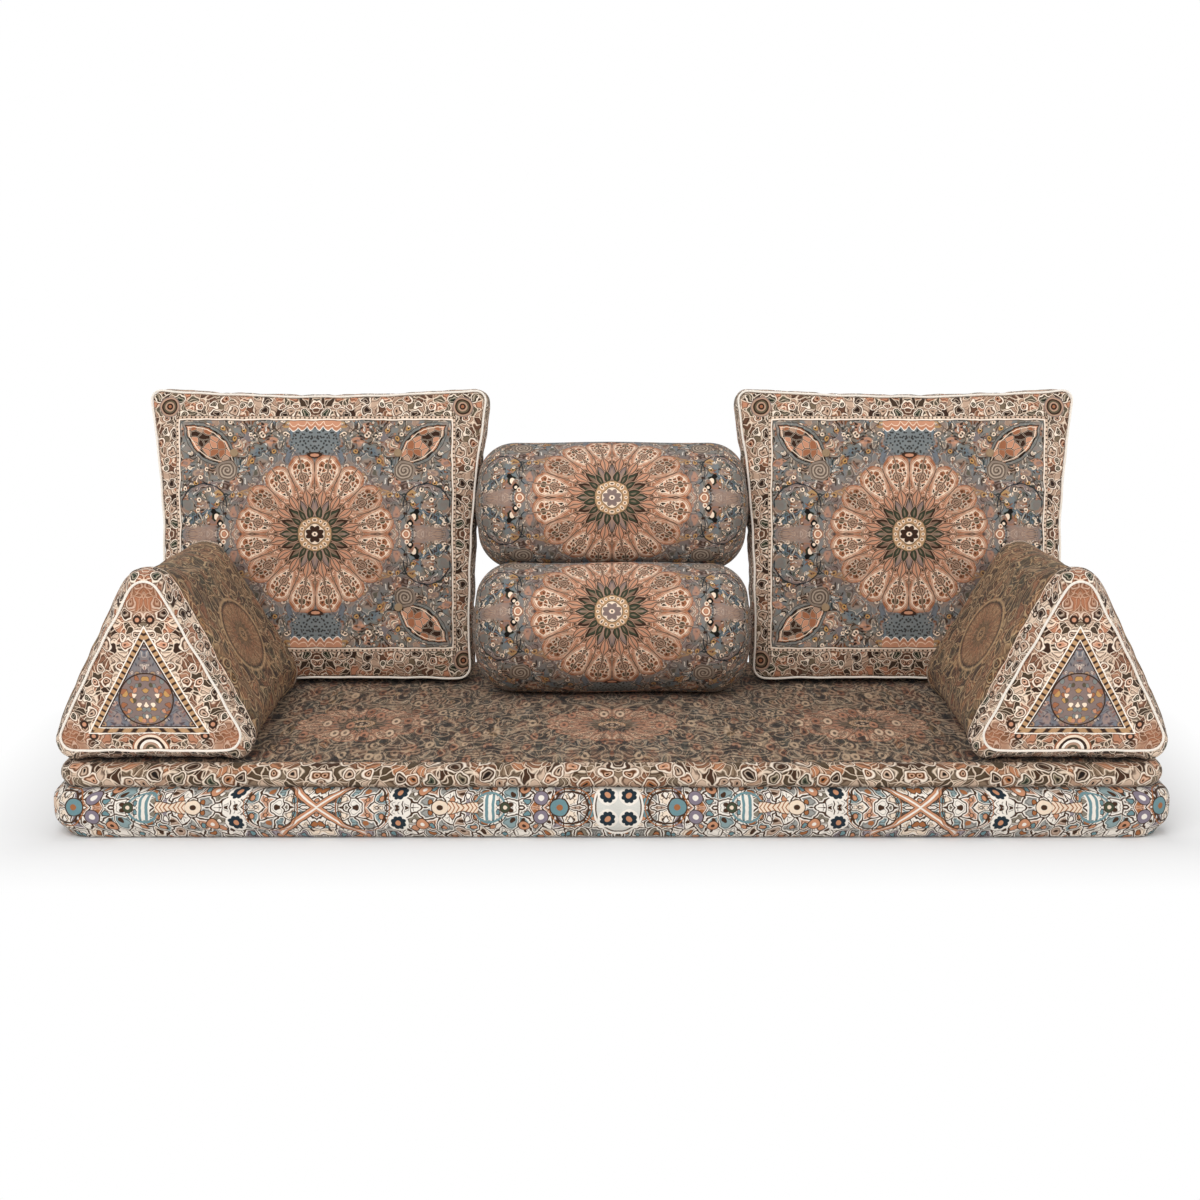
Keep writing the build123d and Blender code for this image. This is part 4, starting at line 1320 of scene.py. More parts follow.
def make_nap():
    """The cloth's surface: a fine weave, a soft mottle and the light wear of the print."""
    net, (place,) = group_net("cloth_nap", [], [("Height", VALUE), ("Shade", VALUE)])
    x, y = net.parts(place)
    weave = (x * (TAU / 0.0016)).sine() * (y * (TAU / 0.0016)).sine()
    slub = net.noise(net.stretch(place, 240.0, 900.0), 1.0)[0]
    mottle = net.noise(place, 24, 3)[0]
    fine = net.noise(place, 420, 2)[0]
    finish_group(net, weave * 0.35 + slub * 0.8 + mottle * 2.0, 0.80 + mottle * 0.22 + fine * 0.20)


def scatter(net, place, scale, share, radius, tones, core, strength=1.0):
    """Ring flowers, one in some of the cells: a disc with an eye and a thin dark edge."""
    gap, chance = net.cells(place, scale)
    pick, tone = net.channels(chance)
    chosen = pick.over(1 - share, 1 - share + 0.001) * strength
    net.lay(core, gap.band(radius, radius * 1.35, 0.04) * chosen * 0.6)
    net.lay(net.tones(tone, tones), gap.within(radius, 0.03) * chosen)
    net.lay(core, gap.within(radius * 0.42, 0.02) * chosen)


def make_field(c):
    """The mottled ground of the carpet with its vines, ring flowers, blobs and specks."""
    net, (place,) = group_net("carpet_field", [], [("Color", COLOUR)])
    cloud = net.noise(place, 17, 3)[0]
    net.colour = net.ramp(cloud, [(0.30, c.slate), (0.42, c.grey), (0.5, c.warm), (0.57, c.grey),
                                  (0.68, c.mauve)])
    bent = net.warp(place, 46, 0.022)
    patches = net.cells(net.warp(place, 90, 0.014), 62)[1]
    hue, depth = net.channels(patches)
    net.lay(net.tones(hue, (c.slate, c.tan, c.brown, c.olive, c.slate, c.clay)), depth * 0.34)
    vine = net.noise(bent, 34)[0]
    net.lay(c.brown, vine.band(0.485, 0.512, 0.006) * 0.85)
    net.lay(c.cream, vine.band(0.548, 0.566, 0.006) * 0.6)
    net.lay(c.green, vine.band(0.420, 0.442, 0.006) * 0.8)
    scatter(net, bent, 30, 0.5, 0.27, (c.coral, c.ochre, c.tan, c.clay), c.mauve, 0.75)
    scatter(net, place, 47, 0.55, 0.21, (c.cream, c.tan, c.ochre, c.cream), c.brown)
    shifted = net.vector("ADD", bent, (0.413, 0.771, 0.0))
    scatter(net, shifted, 88, 0.6, 0.21, (c.cream, c.navy, c.coral, c.ivory), c.green, 0.85)
    scatter(net, shifted, 125, 0.5, 0.24, (c.brown, c.cream, c.clay, c.black), c.brown, 0.9)
    finish_group(net, net.colour)


def make_scrollwork(c):
    """Border work: cells and ovals outlined in ivory, with brown inner lines, curls and an eye in each.

    The dark input moves the fills from light (0) to dark (1)."""
    net, (place, dark) = group_net("scrollwork", [("Dark", VALUE)], [("Color", COLOUR)])
    bent = net.warp(place, 55, 0.014)
    web = net.cell_edge(bent, 66)
    hue, other = net.channels(net.cells(bent, 66)[1])
    light = net.tones(hue, (c.tan, c.coral, c.cream, c.tan, c.olive, c.tan, c.brown, c.clay, c.tan))
    deep = net.tones(hue, (c.olive, c.brown, c.tan, c.clay, c.brown, c.tan, c.brown, c.coral, c.green))
    net.colour = net.mix(light, deep, dark)
    net.lay(c.brown, web.band(0.10, 0.17, 0.03) * 0.7)
    level = (net.noise(bent, 21, 0.0)[0] * 9).step()
    net.lay(c.brown, level.band(0.22, 0.36, 0.05) * 0.75)
    net.lay(c.cream, level.band(0.42, 0.56, 0.05) * 0.85)
    net.lay(c.cream, web.within(0.055, 0.03) * other.over(0.3, 0.31) * 0.85)
    gap, chance = net.cells(bent, 36, 0.8)
    pick, tone = net.channels(chance)
    ring = gap - (0.22 + tone * 0.15)
    fills = net.tones(pick, (c.brown, c.coral, c.olive, c.tan, c.clay, c.brown, c.green, c.tan))
    net.lay(fills, ring.within(0.0, 0.02))
    net.lay(c.brown, ring.band(-0.11, -0.05, 0.02) * 0.85)
    net.lay(c.cream, ring.band(-0.17, -0.13, 0.02) * 0.6)
    net.lay(c.black, gap.within(0.07, 0.02))
    net.lay(net.mix(c.ivory, c.cream, 0.6), ring.band(-0.040, 0.035, 0.02))
    net.lay(c.brown, ring.band(0.045, 0.085, 0.02) * 0.7)
    finish_group(net, net.colour)


def make_medallion(c):
    """The 16-lobed medallion, 300 mm wide: outlined drops round a lattice, a star, beads and a flower.

    Each lobe is a disc drawn out towards the middle to a drop: within the disc's middle radius its half
    width is one less the share of the tail's length to the power 1.5. Its outlines lie at set distances
    from its edge."""
    net, (place, heart) = group_net("medallion", [("Heart", COLOUR)], [("Color", COLOUR), ("Mask", VALUE)])
    x, y = net.parts(place)
    angle = net.angle(x, y)
    radius = net.length(place)
    squared = 1 + 0.035 * (angle * 2).sine() * (angle * 2).sine()
    wide = radius * squared
    across, outward = net.lobes(wide, angle, 16)
    past = outward - 0.1205
    round_end = net.length(net.join(across, past)) - 0.0225
    tail = across.size() - (1 - (past.least(0.0) / -0.050) ** 1.5) * 0.0225
    inner = past.over(0.00005, -0.00005)
    drop = tail * inner + round_end * (1 - inner)
    mirrored = net.join(across.size(), outward)

    cloud = net.noise(place, 90, 2)[0]
    net.colour = net.ramp(cloud, [(0.3, c.clay), (0.45, c.coral), (0.6, c.coral), (0.75, c.tan)])
    turn = angle * (16 / TAU)
    coil = (radius / 0.1).math("LOGARITHM", 2.0) * 3.0
    first = (turn + coil).swing()
    second = (turn - coil).swing()
    lattice = first.most(second)
    rings = net.ramp((radius * 90).step(), [(0.0, c.brown), (0.4, c.green), (0.7, c.olive)], True)
    net.lay(rings, lattice.within(0.25, 0.04) * 0.85)
    net.lay(c.tan, lattice.within(0.10, 0.04))
    net.lay(c.brown, lattice.band(0.36, 0.40, 0.03) * 0.6)
    net.lay(c.cream, lattice.over(0.44, 0.47) * 0.6)
    bent = net.warp(mirrored, 110, 0.008)
    edge = net.cell_edge(bent, 112)
    core, chance = net.cells(bent, 112)
    net.lay(c.brown, core.within(0.22, 0.05) * 0.7)
    fills = net.tones(net.channels(chance)[0],
                      (c.coral, c.olive, c.clay, c.coral, c.tan, c.coral, c.clay, c.brown))
    fills = net.mix(fills, c.brown, core.within(0.20, 0.04) * 0.9)
    fills = net.mix(fills, c.cream, edge.within(0.11, 0.03) * 0.85)
    eye = net.distance(mirrored, 0.0, 0.106)
    fills = net.mix(fills, c.tan, eye.within(0.0085))
    fills = net.mix(fills, c.brown, eye.band(0.0035, 0.0050).most(eye.band(0.0080, 0.0092)))
    dim = net.angle(x.size(), y.size()).band(TAU / 16, TAU / 8, 0.01)
    rim = net.ramp(cloud, [(0.35, c.clay), (0.5, c.coral), (0.65, c.tan)])
    net.lay(net.mix(fills, c.brown, dim * 0.3), drop.within(-0.0040))
    net.lay(rim, drop.band(-0.0034, 0.0022))
    net.lay(net.mix(c.cream, c.clay, dim * 0.7), drop.band(-0.0048, -0.0032) * 0.85)
    net.lay(c.cream, drop.band(-0.0018, -0.0008) * 0.6)
    net.lay(c.clay, drop.band(-0.0008, 0.0002) * 0.7)
    net.lay(c.clay, drop.band(0.0022, 0.0038) * wide.over(0.085, 0.095))

    side, ahead = net.lobes(radius, angle, 16, 0.5)
    other = net.ramp((angle * (4 / TAU)).step(),
                     [(0.0, c.green), (0.22, c.brown), (0.5, c.green), (0.72, c.mauve)], True)
    for tone, line, low, high, width in (
            (c.coral, across, 0.050, 0.084, 0.0074), (other, side, 0.026, 0.066, 0.0066),
            (c.green, across, 0.026, 0.052, 0.0052)):
        leaf = (radius.over(low, high) * math.pi).sine() * width - line.size()
        net.lay(c.tan, leaf.over(-0.0022, -0.0014) * 0.8)
        net.lay(c.brown, leaf.over(-0.0010, -0.0002))
        net.lay(tone, leaf.over(0.0004, 0.0010))
        net.lay(c.tan, leaf.over(0.0034, 0.0042) * 0.45)
    ring = radius.band(0.0185, 0.031)
    net.lay(net.mix(c.ochre, c.tan, 0.5), ring)
    bead = net.distance(net.join(side, ahead), 0.0, 0.0252)
    net.lay(c.cream, bead.within(0.0034) * 0.9)
    net.lay(c.brown, bead.within(0.0016) * 0.9)
    net.lay(c.olive, radius.band(0.0304, 0.0316).most(radius.band(0.0182, 0.0194)))
    net.lay(c.cream, radius.within(0.0180))
    leaf_x, leaf_y = net.lobes(radius, angle, 8)
    petal = net.oval(leaf_x, leaf_y - 0.0105, 0.0044, 0.0066)
    net.lay(heart, petal.within(1.0, 0.1))
    net.lay(c.cream, radius.within(0.0042))
    net.lay(c.brown, radius.within(0.0016))
    mask = wide.within(0.112).most(drop.within(0.0038))
    finish_group(net, net.colour, mask)


def make_carpet(c):
    """The whole carpet print without its border, mirrored both ways about the medallion."""
    net, (place, heart, leaves) = group_net("carpet", [("Heart", COLOUR), ("Leaves", VALUE)],
                                            [("Color", COLOUR)])
    x, y = net.parts(place)
    folded = net.warp(net.join(x.size(), y.size()), 55, 0.0055)
    ax, ay = net.parts(folded)
    net.colour = net.group("carpet_field", folded)[0]
    halo = net.length(place).over(0.19, 0.15)
    net.lay(c.mauve, halo * 0.35)

    # Fan of stripes outside the hooks
    stripes = (ay / (ax - 0.14) * 190).sine().over(-0.2, 0.2)
    fan = ax.over(0.188, 0.2) * ax.over(0.262, 0.24) * ay.within(0.016, 0.004)
    net.lay(net.mix(c.mauve, c.tan, stripes), fan * 0.8)

    # Navy arches beside the hooks, and the vines that leave them
    arch = net.distance(folded, 0.215, 0.052)
    bow = net.distance(folded, 0.150, 0.052)
    net.lay(c.navy, arch.band(0.0435, 0.0462) * ay.over(0.050, 0.052) * 0.85)
    net.lay(c.navy, bow.band(0.0280, 0.0300) * ax.over(0.164, 0.166) * 0.85)
    far = net.distance(folded, 0.098, 0.240)
    net.lay(c.brown, far.band(0.046, 0.0474) * ay.within(0.219) * 0.7)

    # Pendant, bracket and crown on the upright axis
    lobed = (net.angle(ax, ay - 0.184) * 9).sine() * 0.05
    egg = net.oval(ax, ay - 0.183, 0.048, 0.033) + lobed
    gap, chance = net.cells(folded, 150)
    spots = net.mix(net.mix(c.slate, c.grey, 0.7), c.black, gap.within(0.3, 0.06) * 0.8)
    spots = net.mix(spots, c.cream, gap.within(0.14, 0.04) * net.channels(chance)[0].over(0.88, 0.89))
    net.lay(spots, egg.within(0.97, 0.07) * 0.95)
    net.lay(c.coral, egg.band(1.02, 1.08, 0.03) * (ax * 120).sine().over(-0.6, 0.4) * 0.85)
    net.lay(c.brown, egg.band(1.12, 1.15, 0.02) * 0.5)
    ruffle = ay + (ax * 190).sine().size() * 0.007 + ax * 0.10
    net.lay(c.coral, ruffle.band(0.2100, 0.2300) * ax.within(0.050))
    net.lay(c.ivory, ruffle.band(0.2090, 0.2108) * ax.within(0.050))
    net.lay(c.clay, ruffle.band(0.2138, 0.2152) * ax.within(0.050))
    net.lay(c.cream, ruffle.band(0.2186, 0.2200) * ax.within(0.050))
    crown = net.oval(ax, ay - 0.152, 0.015, 0.007)
    net.lay(c.brown, crown.within(1.0, 0.05))
    net.lay(c.coral, crown.within(0.55, 0.05))

    # Corner leaves and their spirals
    sine, cosine = math.sin(math.radians(38)), math.cos(math.radians(38))
    near, off = ax - 0.206, ay - 0.174
    along, beside = near * cosine + off * sine, off * cosine - near * sine
    leaf = beside.size() - (1 - (along / 0.060) ** 2) * 0.0265
    edge = net.cell_edge(folded, 78)
    pick = net.channels(net.cells(folded, 78)[1])[0]
    pebbles = net.tones(pick, (c.brown, c.coral, c.clay, c.coral, c.tan, c.brown))
    pebbles = net.mix(pebbles, c.cream, edge.band(0.05, 0.09, 0.02) * 0.8)
    pebbles = net.mix(pebbles, c.black, edge.within(0.045, 0.02))
    net.lay(c.grey, leaf.band(0.0, 0.0075) * leaves * 0.7)
    net.lay(pebbles, leaf.within(0.0) * leaves)
    net.lay(c.brown, leaf.band(0.0055, 0.0068) * leaves * 0.85)
    net.lay(c.cream, leaf.band(-0.0050, -0.0034) * leaves)
    net.lay(c.black, leaf.band(-0.0012, 0.0010) * leaves * 0.9)
    curl = net.distance(folded, 0.173, 0.124)
    coil = (curl * (1 / 0.0062) + net.angle(ax - 0.173, ay - 0.124) / TAU).swing()
    net.lay(c.warm, curl.within(0.021))
    net.lay(c.brown, coil.within(0.09, 0.04) * curl.within(0.021))
    net.lay(c.cream, coil.over(0.42, 0.46) * curl.within(0.016) * 0.7)

    # Hooks and the flower between them
    bend = net.distance(folded, 0.190, 0.033)
    half = (ax * 0.8 + ay * 0.6).over(0.1700, 0.1706)
    net.lay(c.cream, bend.within(0.0062) * half)
    net.lay(c.green, bend.band(0.0060, 0.0100) * half)
    net.lay(c.black, bend.band(0.0060, 0.0085) * half)
    for knob_x, knob_y, size, tone in ((0.184, 0.0215, 0.0070, c.black), (0.184, 0.0215, 0.0034, c.cream),
                                       (0.1765, 0.0150, 0.0050, c.cream), (0.1765, 0.0150, 0.0024, c.clay),
                                       (0.196, 0.0430, 0.0050, c.black), (0.1735, 0.0395, 0.0030, c.brown)):
        net.lay(tone, net.distance(folded, knob_x, knob_y).within(size))
    gap = net.distance(folded, 0.176, 0.0)
    net.lay(c.clay, gap.within(0.0105) * 0.8)
    net.lay(c.cream, gap.band(0.0048, 0.0074))
    net.lay(c.coral, gap.within(0.0036))
    medallion, mask = net.group("medallion", net.stretch(folded, 1 / 1.06, 1 / 1.06), heart)
    net.lay(medallion, mask)
    finish_group(net, net.colour)


def ringed(net, gap, tones, pitch):
    """Concentric rings round a point, in several colours, each a pitch wide."""
    step = (gap / (pitch * len(tones))).step()
    net.lay(net.tones(step, tones), gap.within(pitch * 6.6))


def flower(net, gap, angle, radius, petals, leaf, eye):
    """A flower with round petals: the distance's limit waves with the angle."""
    edge = gap / (0.80 + (angle * (petals / 2)).sine().size() * 0.20)
    net.lay(leaf, edge.within(radius))
    net.lay(eye, gap.within(radius * 0.34))


def new_finish(name):
    """The net and the shader of a new material."""
    made = bpy.data.materials.new(name)
    made.use_nodes = True
    MATERIALS[name] = made
    return Net(made.node_tree), made.node_tree.nodes["Principled BSDF"]


def cloth_material(name, paint, c, contrast):
    """A cloth: its print from the print coordinates, the nap's shade and height, and a soft sheen.

    The contrast is a power that the print's colour is raised to, times what keeps its middle tone."""
    net, shader = new_finish(name)
    place = net.add("ShaderNodeUVMap", uv_map="print")
    height, shade = net.group("cloth_nap", place)
    paint(net, place, c)
    curve = net.add("ShaderNodeGamma", {"Color": net.colour, "Gamma": contrast})
    net.colour = net.add("ShaderNodeHueSaturation", {"Color": curve, "Saturation": 2 - contrast ** 0.6,
                                                     "Value": MIDDLE_TONE ** (1 - contrast)})
    relief = net.add("ShaderNodeBump", {"Strength": 0.6, "Distance": NAP_HEIGHT, "Height": height})
    net.fill(shader, {"Base Color": net.dyed(shade), "Normal": relief, "Roughness": 0.92,
                      "Specular IOR Level": 0.15, "Sheen Weight": 0.08, "Sheen Roughness": 0.6})


def grained_material(name, light, dark, grain, roughness=0.9, metallic=0.0):
    """A finish without a print: two tones mixed by a grain that is stretched along the object's axes."""
    net, shader = new_finish(name)
    place = net.vector("MULTIPLY", net.add("ShaderNodeTexCoord", (), "Object"), grain)
    noise = net.add("ShaderNodeTexNoise", {"Vector": place, "Scale": 1.0}, noise_dimensions="3D")
    level = noise.over(0.4, 0.75)
    relief = net.add("ShaderNodeBump", {"Distance": 0.0003, "Height": level})
    net.fill(shader, {"Base Color": net.mix(light, dark, level * 0.45), "Normal": relief,
                      "Roughness": level * 0.1 + roughness, "Metallic": metallic})


def gusset_print(net, place, c):
    """The back cushions' gusset: border work."""
    net.colour = net.group("scrollwork", place, 0.7)[0]


def bolster_print(net, place, c):
    """The bolsters: the carpet without its corner leaves."""
    net.colour = net.group("carpet", place, c.mauve, 0.0)[0]


def lining_print(net, place, c):
    """The mattress's bottom: plain."""
    net.colour = c.tan


def piping_print(net, place, c):
    """The piping: plain."""
    net.colour = c.ivory


def cushion_print(net, place, c):
    """A back cushion's print: the carpet, a guard of beads, a scrolled border and corner roundels."""
    place = net.vector("SUBTRACT", place, (0.0, PRINT_RISE, 0.0))
    x, y = net.parts(place)
    ax, ay = net.parts(net.warp(net.join(x.size(), y.size()), 40, 0.003))
    over_x, over_y = ax - 0.264, ay - 0.221
    beyond = over_x.most(over_y)
    upright = (over_x - over_y).over(-0.0002, 0.0002)
    along = ay * upright + ax * (1 - upright)
    net.colour = net.group("carpet", place, c.brown, 1.0)[0]
    scrolls = net.group("scrollwork", net.join(along, beyond), 0.8)[0]
    net.lay(scrolls, beyond.over(0.0, SOFT))
    bead = (along / 0.0085).swing() * 0.0085
    beads = net.length(net.join(bead, beyond - 0.0054))
    net.lay(net.mix(c.cream, c.tan, net.noise(place, 60)[0]), beyond.band(0.0, 0.0082))
    net.lay(c.brown, beads.within(0.0017))
    net.lay(c.ivory, beyond.band(0.0010, 0.0026))
    net.lay(c.brown, beyond.band(-0.0010, 0.0002).most(beyond.band(0.0078, 0.0090)) * 0.8)
    corner = net.distance(net.join(ax, ay), 0.286, 0.248)
    ringed(net, corner, (c.clay, c.brown, c.tan, c.olive, c.brown, c.tan, c.mauve, c.brown), 0.0031)


def end_print(net, place, c):
    """An armrest's end: a triangle with a flower disc, a bead band, rings by the corners and a fan.

    A point's distance from the triangle is the greater of those from its sloping side and its base."""
    x, z = net.parts(place)
    ax = x.size()
    folded = net.join(ax, z)
    beyond = (ax * 0.877 + (z - 0.215) * 0.481).most(0.071 - z)
    net.colour = net.group("scrollwork", folded, 0.6)[0]
    corner = net.distance(folded, 0.0, 0.292).least(net.distance(folded, 0.136, 0.040))
    net.lay(c.clay, corner.over(0.045, 0.022) * 0.6)
    fan = net.distance(folded, 0.0, 0.026)
    ringed(net, fan, (c.cream, c.olive, c.tan, c.ivory, c.brown, c.cream, c.clay), 0.0048)
    for ring_x, ring_z in ((0.0105, 0.252), (0.107, 0.074), (0.093, 0.053)):
        gap = net.distance(folded, ring_x, ring_z)
        net.lay(c.brown, gap.within(0.0075))
        net.lay(c.coral, gap.within(0.0036))
    field = net.group("carpet_field", folded)[0]
    field = net.mix(field, c.violet, 0.35)
    disc = net.distance(folded, 0.0, 0.119)
    gap, chance = net.cells(net.warp(folded, 90, 0.008), 92)
    blooms = net.tones(net.channels(chance)[0], (c.ochre, c.clay, c.grey, c.coral, c.olive, c.cream))
    inside = net.mix(c.mauve, blooms, gap.within(0.36, 0.05))
    inside = net.mix(inside, c.brown, gap.band(0.34, 0.40, 0.04) * 0.8)
    field = net.mix(field, inside, disc.within(0.0445))
    field = net.mix(field, c.brown, disc.band(0.0435, 0.0458))
    net.lay(field, beyond.within(0.0))
    along = (z * 0.877 - ax * 0.481) * beyond.over(0.0, 0.0001)
    base = (0.071 - z - beyond).size().within(0.0001)
    run = ax * base + along * (1 - base)
    bead = (run / 0.0105).swing() * 2
    beads = net.mix(net.mix(c.ochre, c.tan, 0.45), c.brown, bead.over(0.5, 0.75))
    net.lay(beads, beyond.band(0.0030, 0.0110))
    net.lay(c.ivory, beyond.band(0.0115, 0.0135).most(beyond.band(0.0008, 0.0026)))
    net.lay(c.brown, beyond.band(-0.0010, 0.0012))


def wrap_print(net, place, c):
    """An armrest's sides: a dim carpet, an ivory strip with rings along the front edge."""
    x, y = net.parts(place)
    ax = x.size()
    folded = net.join(ax, y)
    net.colour = net.group("carpet_field", net.stretch(folded, 0.6, 0.6))[0]
    curls = net.group("scrollwork", net.stretch(folded, 0.62, 0.5), 0.85)[0]
    net.lay(curls, 0.62)
    line = (net.noise(folded, 13, 2)[0] * 9).step()
    net.lay(c.brown, line.band(0.0, 0.20, 0.06) * 0.45)
    palm = net.oval(ax - 0.19, y - 0.25, 0.062, 0.100)
    oval = net.group("medallion", net.join((ax - 0.19) / 0.46, (y - 0.25) / 0.74), c.brown)[0]
    net.lay(net.mix(oval, c.tan, 0.3), palm.within(1.0, 0.04) * 0.75)
    net.lay(c.brown, palm.band(0.97, 1.05, 0.03) * 0.7)
    net.lay(c.cream, palm.band(1.07, 1.15, 0.03) * 0.6)
    net.colour = net.dyed(c.shade_side)
    scrolls = net.group("scrollwork", folded, 0.3)[0]
    edge = (y - 0.27).size() - 0.2245
    net.lay(scrolls, edge.over(-0.0002, 0.0002))
    net.lay(c.brown, edge.band(-0.0012, 0.0))
    bead = (ax / 0.030).swing() * 0.030
    gap = net.length(net.join(bead, edge - 0.013))
    net.lay(c.brown, gap.band(0.0032, 0.0062))
    net.lay(c.cream, edge.band(0.0008, 0.0026) * 0.9)


def seat_print(net, place, c):
    """The mattress top: the carpet's field with a row of three medallions along the front half."""
    x, y = net.parts(place)
    folded = net.join(x.size(), y)
    flat = net.stretch(folded, 0.9, 0.32)
    net.colour = net.group("carpet_field", flat)[0]
    row = net.join(((x.size() - 0.228).size() - 0.228) / 0.82, (y + 0.127) / 0.82)
    medallion, mask = net.group("medallion", row, c.brown)
    net.lay(medallion, mask)
    curls = net.group("scrollwork", net.stretch(folded, 0.8, 0.26), 0.9)[0]
    net.lay(curls, 0.5 - mask * 0.45)
    scatter(net, flat, 44, 0.6, 0.30, (c.coral, c.cream, c.clay, c.tan, c.black), c.brown, 0.8)
    wave = (net.noise(net.stretch(folded, 17.0, 12.0), 1.0, 1)[0] * 7).step()
    plain = 1 - mask * 0.7
    net.lay(c.black, wave.band(0.0, 0.24, 0.05) * plain * 0.6)
    net.lay(c.cream, wave.band(0.50, 0.66, 0.05) * plain * 0.6)
    net.colour = net.dyed(net.mix(c.shade_seat, c.ivory, mask * 0.8))


def lip_print(net, place, c):
    """The rolled lip: large bright border cells, with painted shade down in the seam."""
    x, y = net.parts(place)
    folded = net.join((x - BAND_SHIFT).fold(BAND_REPEAT) * 0.75, y * 0.75)
    net.colour = net.group("scrollwork", folded, 0.6)[0]
    # Painted shade: black laid down into the seam crease
    net.lay(c.black, (y + SEAM_PAINTED_SHADE).over(0.0, SEAM_PAINTED_SHADE) * 0.6)


def band_print(net, place, c):
    """The printed band, mirrored end to end every 507 mm and top to bottom about its middle."""
    x, y = net.parts(place)
    u = (x - BAND_SHIFT).fold(BAND_REPEAT)
    v = (y - 0.037).size()
    folded = net.warp(net.join(u, v), 50, 0.004)
    u, v = net.parts(folded)
    bent = net.warp(folded, 60, 0.012)
    edge = net.cell_edge(bent, 46)
    gap, chance = net.cells(bent, 46)
    pick, tone = net.channels(chance)
    net.colour = net.tones(pick, (c.ivory, c.tan, c.teal, c.ivory, c.coral, c.grey, c.cream, c.violet,
                                  c.ivory, c.olive))
    net.lay(c.ivory, 0.15)
    web = net.cell_edge(net.warp(folded, 110, 0.010), 105)
    net.lay(c.brown, web.within(0.08, 0.03) * tone.over(0.4, 0.41) * 0.8)
    net.lay(c.brown, edge.band(0.20, 0.25, 0.02) * tone.within(0.6) * 0.75)
    net.lay(c.ivory, edge.within(0.13, 0.02))
    net.lay(c.brown, edge.within(0.055, 0.015))
    net.lay(c.brown, gap.within(0.25, 0.015) * tone.over(0.3, 0.31))
    net.lay(net.tones(tone, (c.brown, c.clay, c.teal, c.coral, c.ivory)), gap.within(0.18, 0.02))

    # Crossing bands at one end, scallops, bars and lobes along the way
    cross = (v - (u - BAND_REPEAT).size() * 0.72).size()
    near = u.over(0.43, 0.44)
    net.lay(c.coral, cross.within(0.0075) * near)
    net.lay(c.brown, cross.band(0.0066, 0.0084) * near)
    net.lay(c.ivory, cross.within(0.0020) * near)
    for middle, low, high, tone in ((0.080, 0.028, 0.031, c.brown), (0.080, 0.034, 0.036, c.clay),
                                    (0.216, 0.024, 0.028, c.teal), (0.216, 0.031, 0.0325, c.brown),
                                    (0.430, 0.040, 0.042, c.brown), (0.430, 0.045, 0.0465, c.clay)):
        arc = net.distance(folded, middle, 0.0)
        net.lay(tone, arc.band(low, high))
    for middle, height, size, tone, core in (
            (0.099, 0.0, 0.0150, c.teal, c.clay), (0.130, 0.016, 0.0120, c.violet, c.ivory),
            (0.190, 0.0, 0.0080, c.green, c.cream), (0.300, 0.0, 0.0130, c.cream, c.brown),
            (0.330, 0.030, 0.0100, c.coral, c.ivory), (0.160, 0.034, 0.0090, c.coral, c.brown)):
        gap = net.distance(folded, middle, height)
        net.lay(c.brown, gap.within(size + 0.0016))
        net.lay(tone, gap.within(size))
        net.lay(core, gap.within(size * 0.4))
    bars = ((u - 0.216) / 0.010).swing()
    net.lay(net.mix(c.teal, c.ivory, bars.over(0.2, 0.26)), u.band(0.206, 0.226) * v.within(0.022))
    bone = v - (0.006 + (u - 0.261).size() * 0.20)
    spine = ((u - v * 0.8) / 0.0075).swing()
    leaf = bone.within(0.0) * u.band(0.235, 0.287)
    net.lay(net.mix(c.cream, c.clay, spine.within(0.16, 0.05)), leaf)
    net.lay(c.brown, bone.band(-0.0004, 0.0012) * u.band(0.235, 0.287))

    # Cartouche and navy flowers
    egg = net.oval(u, v, 0.037, 0.046)
    net.lay(net.mix(c.ivory, c.teal, 0.25), egg.within(1.0, 0.02))
    net.lay(c.brown, egg.band(1.0, 1.06, 0.01))
    net.lay(c.ivory, egg.band(1.06, 1.16, 0.01))
    for spot_x, spot_y, size in ((0.0178, 0.021, 0.0140), (0.370, 0.0275, 0.0135)):
        gap = net.distance(folded, spot_x, spot_y)
        net.lay(c.ivory, gap.within(size + 0.0035))
        flower(net, gap, net.angle(u - spot_x, v - spot_y), size, 8, c.navy, c.coral)
    # Painted shade: black laid along the top of the band, in the seam crease
    net.lay(c.black, y.over(SEAM_PAINTED_SHADE, 0.0) * 0.6)


